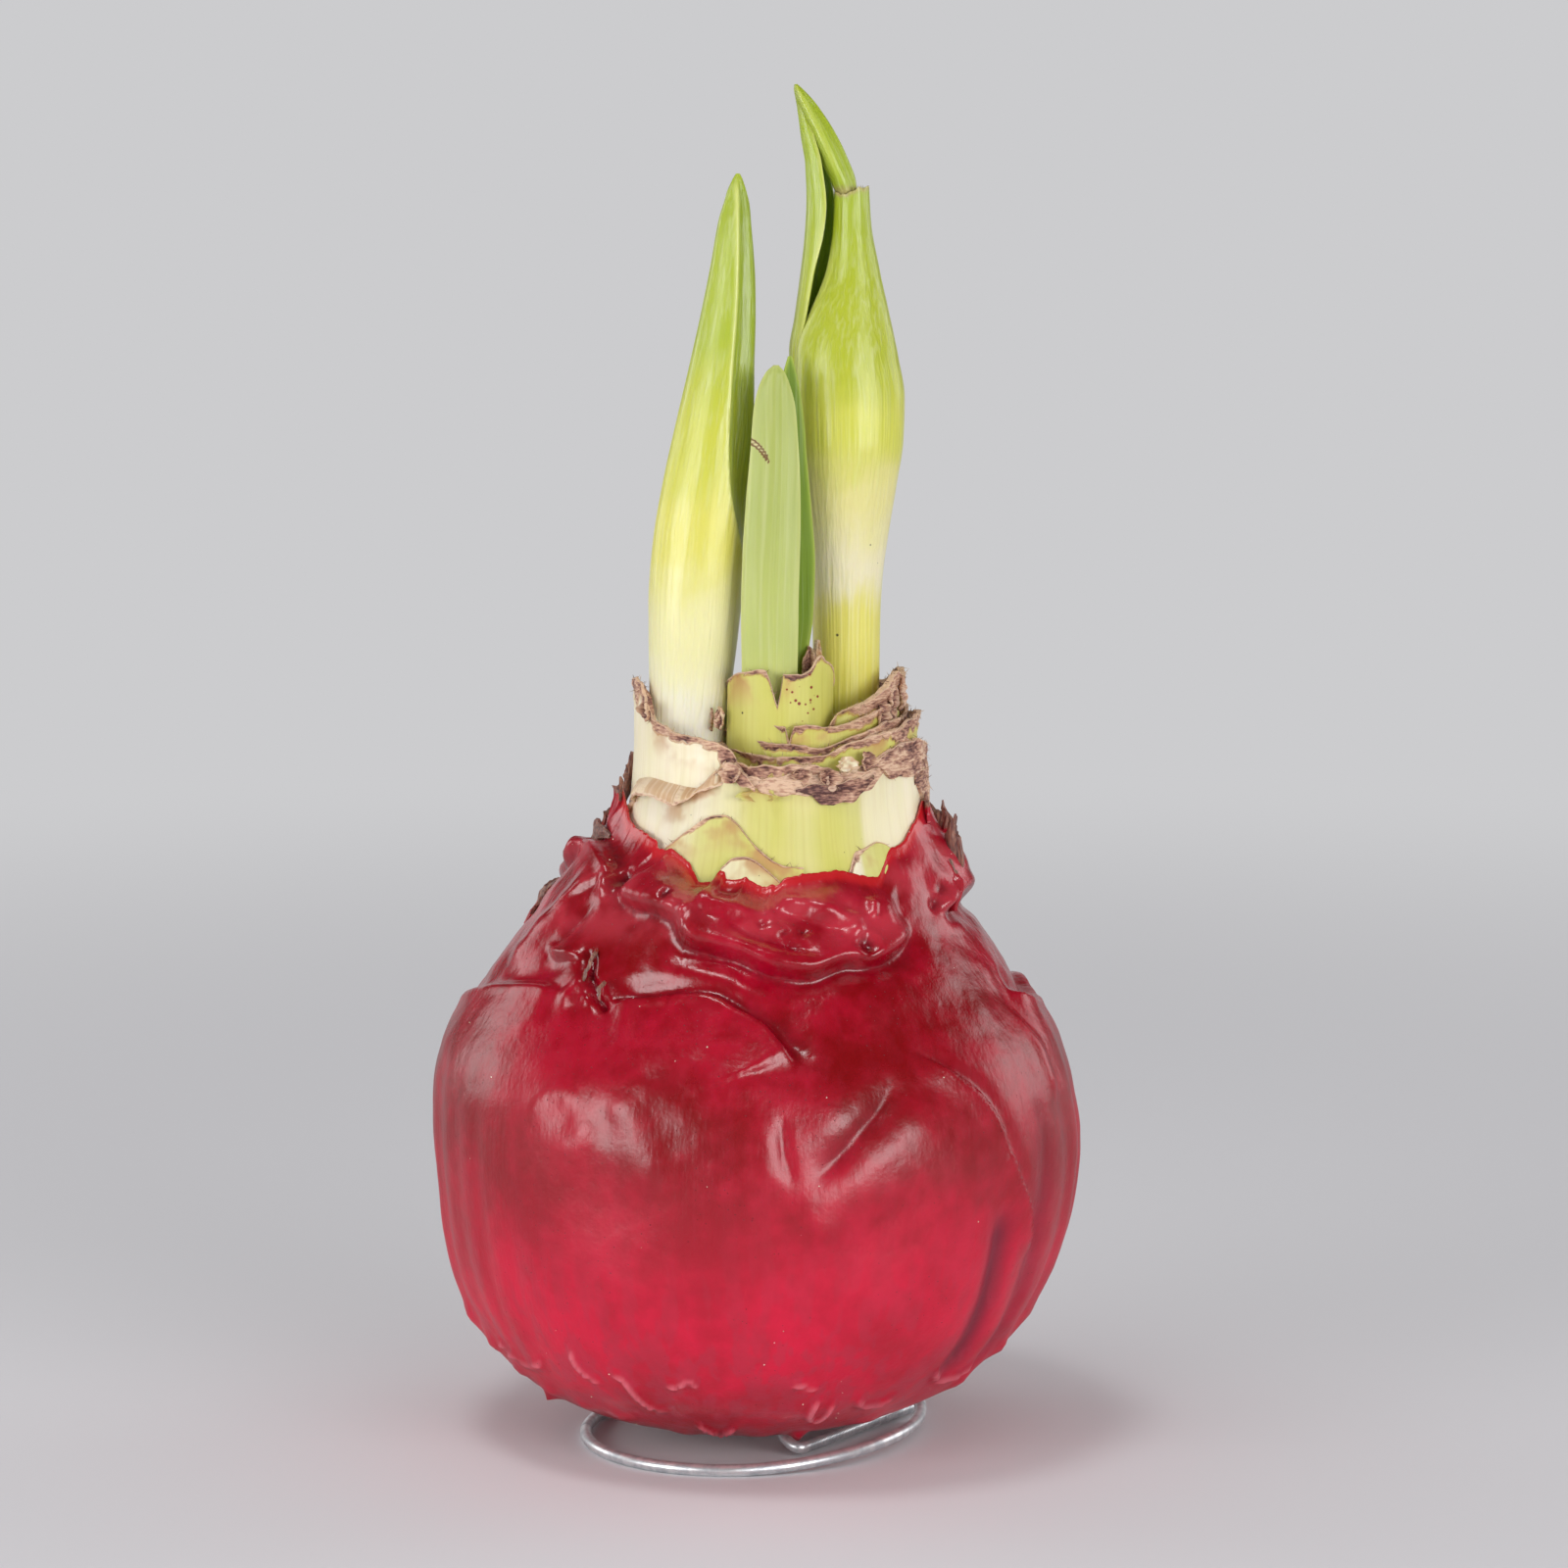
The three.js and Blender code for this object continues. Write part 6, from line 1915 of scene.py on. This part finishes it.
@dataclass(frozen=True)
class BrightWire:
    """Drawn galvanised wire with fine scratches and crimp marks under the bulb."""

    metal: tuple = tint(238, 239, 241)
    dull: tuple = tint(200, 203, 208)
    crimp: tuple = tint(120, 152, 158)
    bar: Pair = (0.0, 1.0)
    end_share: float = 0.004
    crimp_rate: float = 3400.0

    def material(self, effects: SurfaceEffects) -> Material:
        """Builds the finish."""
        f = Finish("bright_wire", effects, Metallic=0.78)
        b = f.bench
        place, run = b.place_mm(), b.value("run")
        worn = f.grain(place, 1.8, 4.0)
        colour = b.mix(b.between(worn, 0.35, 0.7), self.metal, self.dull)
        start, stop = self.bar
        on_bar = b.times(b.between(run, start, start + self.end_share),
                        b.between(run, stop - self.end_share, stop, 1.0, 0.0))
        wave = b.math("SINE", b.times(run, self.crimp_rate))
        marks = b.times(b.between(wave, 0.35, 0.8), on_bar)
        colour = b.mix(b.times(marks, 0.7), colour, self.crimp)
        f.colour(colour)
        f.roughness(b.between(worn, 0.3, 0.75, 0.3, 0.46))
        f.bump(b.minus(b.times(f.grain(place, 0.3, 3.0), 0.3), marks), 0.09, 0.8)
        return f.material


@dataclass(frozen=True)
class PaleSweep:
    """The pale floor, which turns into a wall that glows evenly; the wall in front reflects darkly."""

    tone: tuple = tint(222, 221, 224)
    glow: tuple = tint(204, 204, 206)
    fade: Pair = (0.24, 0.72)
    diffuse_share: float = 0.45
    dark_share: float = 0.04
    dark_span: Pair = (-0.42, -0.14)

    def material(self) -> Material:
        """Builds the finish."""
        made, b = empty_material("pale_sweep")
        place = b.object_place()
        share = b.between(b.apart(b.stretched(place, (1, 1, 0)), (0, 0, 0)), *self.fade)
        aside, depth, high = b.axes(place)
        path = b.add("ShaderNodeLightPath").outputs
        low = b.between(high, 0.0, 0.1, 1.0, 0.0)
        narrow = b.between(b.math("ABSOLUTE", aside), 0.3, 0.9, 1.0, 0.0)
        ground = b.times(b.between(depth, *self.dark_span, self.dark_share, 0.7), low)
        behind = b.times(b.between(depth, 0.5, 1.1), narrow)
        dark = b.math("MAXIMUM", b.math("MAXIMUM", ground, behind), self.dark_share)
        strength = b.times_plus(path["Is Diffuse Ray"], self.diffuse_share - 1, 1.0)
        mirrored = b.times_plus(path["Is Glossy Ray"], b.minus(dark, 1.0), 1.0)
        shader = b.add("ShaderNodeBsdfDiffuse", {"Color": b.mix(mirrored, (0, 0, 0, 1), self.tone)})
        light = b.add("ShaderNodeEmission", {"Color": self.glow, "Strength": b.times(strength, mirrored)})
        both = b.add("ShaderNodeMixShader", {0: share, 1: shader.outputs[0], 2: light.outputs[0]})
        b.add("ShaderNodeOutputMaterial", {0: both.outputs[0]})
        return made


@dataclass(frozen=True)
class PlainFinish:
    """A finish of one colour broken by fine grain, for dust and fibres."""

    name: str
    light: tuple
    dark: tuple
    rough: float = 0.7

    def material(self, effects: SurfaceEffects) -> Material:
        """Builds the finish."""
        f = Finish(self.name, effects)
        grain = f.grain(f.bench.place_mm(), 0.8, 3.0)
        f.colour(f.bench.mix(f.bench.between(grain, 0.35, 0.65), self.dark, self.light))
        f.roughness(f.bench.times_plus(grain, 0.2, self.rough - 0.1))
        return f.material


# ---- repeats and sweeps
class Generator:
    """A Geometry Nodes tree with named inputs, run once on a mesh."""

    def __init__(self, name: str, inputs: dict[str, str]) -> None:
        """Starts the tree.

        Args:
            name: The tree's name.
            inputs: Socket kinds by name, such as "Float" or "Material".
        """
        self.tree = bpy.data.node_groups.new(name, "GeometryNodeTree")
        face = self.tree.interface
        face.new_socket(name="Base", in_out="INPUT", socket_type="NodeSocketGeometry")
        self.sockets = {
            label: face.new_socket(name=label, in_out="INPUT", socket_type=f"NodeSocket{kind}").identifier
            for label, kind in inputs.items()
        }
        face.new_socket(name="Result", in_out="OUTPUT", socket_type="NodeSocketGeometry")
        self.bench = NodeBench(self.tree)
        self.given = self.bench.add("NodeGroupInput").outputs

    def end(self, geometry: Socket) -> None:
        """Ends the tree: makes the copies real and gives them their finish."""
        real = self.bench.add("GeometryNodeRealizeInstances", {0: geometry}).outputs[0]
        finished = self.bench.add("GeometryNodeSetMaterial", {
            "Geometry": real, "Material": self.given["Finish"]})
        self.bench.add("NodeGroupOutput", {0: finished.outputs[0]})

    def spots(self, share: Socket) -> Outputs:
        """Seeded points on the base's faces, where share is high; returns the node's outputs."""
        density = self.bench.times(self.given["Density"], share)
        return self.bench.add("GeometryNodeDistributePointsOnFaces", {
            "Mesh": self.given["Base"], "Density": density, "Seed": self.given["Seed"]}).outputs

    def scatter(self, spots: Outputs, copy: Socket, turned: Socket, low: object, high: object) -> None:
        """Sets a copy on each spot, turned, at a size from low to high, and ends the tree."""
        size = self.bench.add("FunctionNodeRandomValue", {2: low, 3: high, "Seed": self.given["Seed"]},
                              data_type="FLOAT").outputs[1]
        self.end(self.bench.add("GeometryNodeInstanceOnPoints", {
            "Points": spots["Points"], "Instance": copy, "Rotation": turned, "Scale": size}).outputs[0])

    def grow(self, name: str, base: bpy.types.Mesh, **values: object) -> Piece:
        """Runs the tree.

        Args:
            name: The new piece's name.
            base: The mesh that it starts from, which stays as it is.
            **values: The tree's inputs, by their names in small letters.

        Returns:
            A plain mesh object at the origin.
        """
        piece = placed(name, base)
        modifier = piece.modifiers.new("growth", "NODES")
        modifier.node_group = self.tree
        for label, value in values.items():
            modifier[self.sockets[label.capitalize()]] = value
        view = bpy.context.evaluated_depsgraph_get()
        made = bpy.data.meshes.new_from_object(
            piece.evaluated_get(view), preserve_all_data_layers=True, depsgraph=view)
        piece.modifiers.remove(modifier)
        made.name = name
        piece.data = made
        return piece


def wire_generator() -> Generator:
    """Sweeps a round section along a path and stores the share of the way as run."""
    g = Generator("drawn_wire", {"Radius": "Float", "Sides": "Int", "Finish": "Material"})
    b = g.bench
    path = b.add("GeometryNodeMeshToCurve", {"Mesh": g.given["Base"]}).outputs[0]
    share = b.add("GeometryNodeSplineParameter").outputs["Factor"]
    marked = b.add("GeometryNodeStoreNamedAttribute", {"Geometry": path, "Name": "run", "Value": share},
                   data_type="FLOAT", domain="POINT").outputs[0]
    section = b.add("GeometryNodeCurvePrimitiveCircle", {
        "Resolution": g.given["Sides"], "Radius": g.given["Radius"]}).outputs[0]
    g.end(b.add("GeometryNodeCurveToMesh", {
        "Curve": marked, "Profile Curve": section, "Fill Caps": True}).outputs[0])
    return g


def speck_generator() -> Generator:
    """Scatters tiny lumps over a mesh, in patches."""
    g = Generator("settled_specks", {
        "Density": "Float", "Patch": "Float", "Smallest": "Float", "Largest": "Float",
        "Seed": "Int", "Finish": "Material"})
    b = g.bench
    noise = b.add("ShaderNodeTexNoise", {"Scale": b.over(1.0, g.given["Patch"]), "Detail": 2.0})
    lump = b.add("GeometryNodeMeshIcoSphere", {"Radius": 1.0, "Subdivisions": 1}).outputs[0]
    spots = g.spots(b.between(noise.outputs[0], 0.46, 0.66))
    g.scatter(spots, lump, spots["Rotation"], g.given["Smallest"], g.given["Largest"])
    return g


def fibre_generator() -> Generator:
    """Stands short torn fibres on the dried parts of a mesh."""
    g = Generator("torn_fibres", {
        "Density": "Float", "Length": "Float", "Radius": "Float", "Seed": "Int", "Finish": "Material"})
    b = g.bench
    dry, edge = [b.add("GeometryNodeInputNamedAttribute", {"Name": name}, data_type="FLOAT").outputs[0]
                 for name in ("dry", "edge")]
    spots = g.spots(b.times(b.between(dry, 0.5, 0.9), b.between(edge, 0.0, 1.4, 1.0, 0.12)))
    hair = b.add("GeometryNodeMeshCone", {
        "Vertices": 4, "Radius Top": b.times(g.given["Radius"], 0.25),
        "Radius Bottom": g.given["Radius"], "Depth": g.given["Length"]}).outputs[0]
    swing = b.add("FunctionNodeRandomValue", {
        0: (-0.9, -0.9, -3.1), 1: (0.9, 0.9, 3.1), "Seed": g.given["Seed"]}, data_type="FLOAT_VECTOR")
    turned = b.add("FunctionNodeRotateRotation", {
        "Rotation": spots["Rotation"], "Rotate By": swing.outputs[0]}, rotation_space="LOCAL").outputs[0]
    g.scatter(spots, hair, turned, 0.5, 1.3)
    return g


# ---- the studio
@dataclass(frozen=True)
class SoftLight:
    """A rectangular soft light that looks at the bulb."""

    name: str
    bearing: float
    rise: float
    distance: float
    size: Pair
    watts: float


@dataclass
class Studio:
    """A pale sweep, soft lights and the camera."""

    camera_place: Triple = (3.9, -800.0, 200.0)
    camera_pitch: float = 82.4
    lens: float = 131.04
    sensor: float = 36.0
    floor_radius: float = 0.8
    sweep_radius: float = 2.0
    wall_height: float = 1.5
    sweep_sides: int = 96
    world: float = 0.34
    # the share of the world's light that a mirror sees
    mirrored_share: float = 0.1
    aim: Triple = (3.9, 0.0, 90.0)
    falloff: tuple[float, float, float, float] = (0.2, 0.6, 1.75, 0.08)
    lights: tuple[SoftLight, ...] = (
        SoftLight("key", -51, 4, 0.9, (0.72, 0.62), 5.2),
        SoftLight("fill", 36, 5, 0.9, (0.9, 0.6), 6.6),
        SoftLight("upper_left", -38, 73, 1.0, (0.3, 0.26), 2.0),
        SoftLight("left_side", -115, 12, 1.1, (0.8, 0.8), 2.7),
        SoftLight("right_side", 115, 12, 1.1, (0.8, 0.8), 2.6),
    )

    def build(self) -> None:
        """Makes the sweep, the lights, the camera and the view's colours."""
        self.sweep()
        for light in self.lights:
            self.light(light)
        self.camera()
        scene = bpy.context.scene
        scene.view_settings.view_transform = "Standard"
        world = bpy.data.worlds.new("studio_air")
        world.use_nodes = True
        shade = world.node_tree.nodes["Background"]
        shade.inputs["Color"].default_value = (self.world, self.world, self.world * 1.01, 1)
        bench = NodeBench(world.node_tree)
        mirrored = bench.add("ShaderNodeLightPath").outputs["Is Glossy Ray"]
        strength = bench.times_plus(mirrored, self.mirrored_share - 1, 1.0)
        bench.feed(shade.inputs["Strength"], strength)
        scene.world = world

    def sweep(self) -> None:
        """A round floor that turns up into a wall on every side."""
        profile = [(r, 0.0) for r in np.linspace(0.05, self.floor_radius, 8)]
        depth = self.sweep_radius - self.floor_radius
        for t in np.linspace(0, math.pi / 2, 24)[1:]:
            height = self.wall_height * (1 - math.cos(t))
            profile.append((self.floor_radius + depth * math.sin(t), height))
        sides = self.sweep_sides
        turn = np.linspace(0, 2 * math.pi, sides, endpoint=False)
        rings = np.array([[(r * math.cos(a), r * math.sin(a), z) for a in turn] for r, z in profile])
        points = [(0.0, 0.0, 0.0), *rings.reshape(-1, 3).tolist()]
        faces = [face[::-1] for face in grid_quads(len(profile), sides, 1, wrap=True).tolist()]
        faces += [(0, 1 + k, 1 + (k + 1) % sides) for k in range(sides)]
        mesh = bpy.data.meshes.new("pale_sweep")
        mesh.from_pydata(points, [], faces)
        mesh.shade_smooth()
        mesh.materials.append(PaleSweep().material())
        placed("pale_sweep", mesh)

    def light(self, wanted: SoftLight) -> None:
        """Hangs one light."""
        data = bpy.data.lights.new(wanted.name, "AREA")
        data.shape = "RECTANGLE"
        data.size, data.size_y = wanted.size
        data.energy = wanted.watts
        data.use_nodes = True
        bench = NodeBench(data.node_tree)
        spot = bench.add("ShaderNodeNewGeometry").outputs["Parametric"]
        dimmed = bench.between(bench.apart(spot, (0.5, 0.5, 0)), *self.falloff)
        bench.feed(data.node_tree.nodes["Emission"].inputs["Strength"], dimmed)
        lamp = placed(wanted.name, data)
        turn, rise = math.radians(wanted.bearing), math.radians(wanted.rise)
        flat = wanted.distance * math.cos(rise)
        lamp.location = [self.aim[i] * MM + d for i, d in enumerate(
            (flat * math.sin(turn), -flat * math.cos(turn), wanted.distance * math.sin(rise)))]
        lamp.rotation_euler = (math.radians(90) - rise, 0, turn)
        lamp.visible_camera = False

    def camera(self) -> None:
        """Places the camera."""
        data = bpy.data.cameras.new("view")
        data.lens, data.sensor_width = self.lens, self.sensor
        data.clip_start, data.clip_end = 0.01, 20
        camera = placed("view", data)
        camera.location = [c * MM for c in self.camera_place]
        camera.rotation_euler = (math.radians(self.camera_pitch), 0, 0)
        bpy.context.scene.camera = camera


# ---- the whole plant
FRONT_LEAF = StrapLeaf(LeafKind.FRONT, (
    (96, 2.2, -9.2, 3.8, 0.8), (104, 2, -9.6, 3.9, 0.8), (110, 1.9, -9.9, 3.9, 0.7),
    (118, 1.9, -10.2, 4, 0.6), (126, 2.1, -10.3, 4, 0.6), (134, 2.4, -10.2, 3.8, 0.5),
    (142, 2.6, -10, 3.3, 0.4), (147, 2.6, -9.8, 2.9, 0.4), (150, 2.6, -9.7, 2.2, 0.3),
    (152, 2.7, -9.6, 1.3, 0.2), (153, 2.8, -9.6, 0.35, 0.1),
), turn=0, thickness=1.5)
BACK_LEAF = StrapLeaf(LeafKind.BACK, (
    (96, 4.6, -4.3, 1.8, -1.1), (104, 4.7, -4.4, 1.9, -1.1), (110, 4.7, -4.5, 1.95, -1.1),
    (118, 5.3, -4.6, 2.3, -1.1), (126, 5.3, -5.2, 2.75, -0.9), (134, 4.9, -5.6, 2.7, -0.7),
    (142, 4.5, -5.6, 2.4, -0.6), (148, 4.5, -5.6, 1.75, -0.5), (152, 4.6, -5.6, 0.9, -0.3),
    (154, 4.7, -5.6, 0.3, -0.1),
), turn=28, thickness=1.3, seed=43)

LEFT_GREEN = GreenGrowth(
    "left_bud_green",
    ((0, 233, 230, 214), (0.18, 230, 225, 168), (0.36, 217, 211, 97), (0.52, 198, 200, 70),
     (0.72, 169, 184, 54), (1, 163, 179, 54)),
    inner=tint(144, 165, 48), margin=tint(215, 219, 135), inner_shade_from=112)
RIGHT_GREEN = GreenGrowth(
    "right_bud_green",
    ((0, 214, 206, 84), (0.2, 220, 212, 104), (0.3, 230, 222, 184), (0.42, 222, 214, 142),
     (0.54, 202, 203, 76), (0.68, 173, 182, 40), (1, 160, 178, 42)),
    inner=tint(91, 123, 15), margin=tint(203, 209, 110), inner_shade_from=140, spots=0.9)
FRONT_LEAF_GREEN = GreenGrowth(
    "front_leaf_green",
    ((0, 224, 221, 140), (0.3, 192, 201, 116), (0.65, 165, 178, 95), (1, 150, 165, 70)),
    inner=tint(171, 180, 97), margin=tint(193, 199, 123), tip=153,
    line_width=0.8, line_depth=0.1, gloss=0.36, coat=0.05, spots=0.0)
BACK_LEAF_GREEN = GreenGrowth(
    "back_leaf_green",
    ((0, 186, 190, 70), (0.4, 124, 150, 14), (1, 112, 140, 14)),
    inner=tint(104, 134, 6), margin=tint(168, 186, 74), tip=154,
    line_width=0.7, gloss=0.5, coat=0.0, spots=0.0)


@dataclass
class WaxedAmaryllis:
    """The whole plant: wax, bulb, shoots, leaves and stand."""

    effects: SurfaceEffects
    skin: BulbSkin = field(default_factory=BulbSkin)
    neck: NeckForm = field(default_factory=NeckForm)

    def build(self) -> None:
        """Builds and dresses every piece."""
        wax = self.wax()
        self.bulb()
        self.growth()
        self.stand()
        self.settled(wax)

    def wax(self) -> Piece:
        """The wax and the dry points that stand out of it; returns the coat."""
        finish = RedWax().material(self.effects)
        relief = Relief(self.skin, WAX_STROKES, WAX_KNOBS, WAX_FLUTES)
        coat = WaxCoat(self.skin, self.neck, relief).shape().object("waxed_skin", finish, 75)
        dress(coat, "wax_coat")
        dress(TornTunics(self.skin).shape().object("torn_tunics", finish), "wax_coat")
        return coat

    def bulb(self) -> None:
        """The neck's scales, their scraps and fibres, and the body in the wax."""
        finish = BulbSkinFinish().material(self.effects)
        fibre = PlainFinish("torn_fibre", tint(196, 168, 132), tint(112, 80, 56)).material(self.effects)
        for name, shape in CutNeck(self.neck, self.skin).shapes().items():
            piece = shape.object(name, finish)
            dress(piece, "bulb")
            if name == "neck_scales":
                fibres = fibre_generator().grow(
                    "neck_fibres", piece.data, density=1.1e6, length=0.75 * MM, radius=0.045 * MM,
                    seed=7, finish=fibre)
                dress(fibres, "bulb")

    def growth(self) -> None:
        """The two flower shoots and the two leaves."""
        shoots = FlowerShoots()
        pieces = (
            (shoots.left_shape(), "left_bud", LEFT_GREEN, "left_flower_shoot", "shoot"),
            (shoots.right_shape(), "right_bud", RIGHT_GREEN, "right_flower_shoot", "shoot"),
            (FRONT_LEAF.shape(), "front_blade", FRONT_LEAF_GREEN, "front_leaf", "leaf"),
            (BACK_LEAF.shape(), "back_blade", BACK_LEAF_GREEN, "back_leaf", "leaf"),
        )
        for shape, name, green, node, slot in pieces:
            dress(shape.object(name, green.material(self.effects), 50), node)

    def stand(self) -> None:
        """The wire stand."""
        stand = WireStand()
        path = stand.path() * MM
        line = bpy.data.meshes.new("wire_path")
        line.from_pydata(path.tolist(), [(i, i + 1) for i in range(len(path) - 1)], [])
        finish = BrightWire(bar=stand.bar_span()).material(self.effects)
        radius = stand.wire_diameter / 2 * MM
        wire = wire_generator().grow("bent_wire", line, radius=radius, sides=stand.sides, finish=finish)
        wire.data.shade_smooth()
        wire.data.set_sharp_from_angle(angle=math.radians(60))
        dress(wire, "wire_stand")

    def settled(self, wax: Piece) -> None:
        """Dust on the wax."""
        dust = PlainFinish("pale_dust", tint(232, 224, 206), tint(196, 176, 150)).material(self.effects)
        specks = speck_generator().grow(
            "settled_dust", wax.data, density=16000.0, patch=14 * MM, smallest=0.04 * MM,
            largest=0.13 * MM, seed=3, finish=dust)
        dress(specks, "wax_coat")


def main() -> None:
    """Builds the plant and the studio."""
    logging.basicConfig(level=logging.INFO, format="%(name)s: %(message)s")
    WaxedAmaryllis(SurfaceEffects.build()).build()
    Studio().build()


if __name__ == "__main__":
    main()
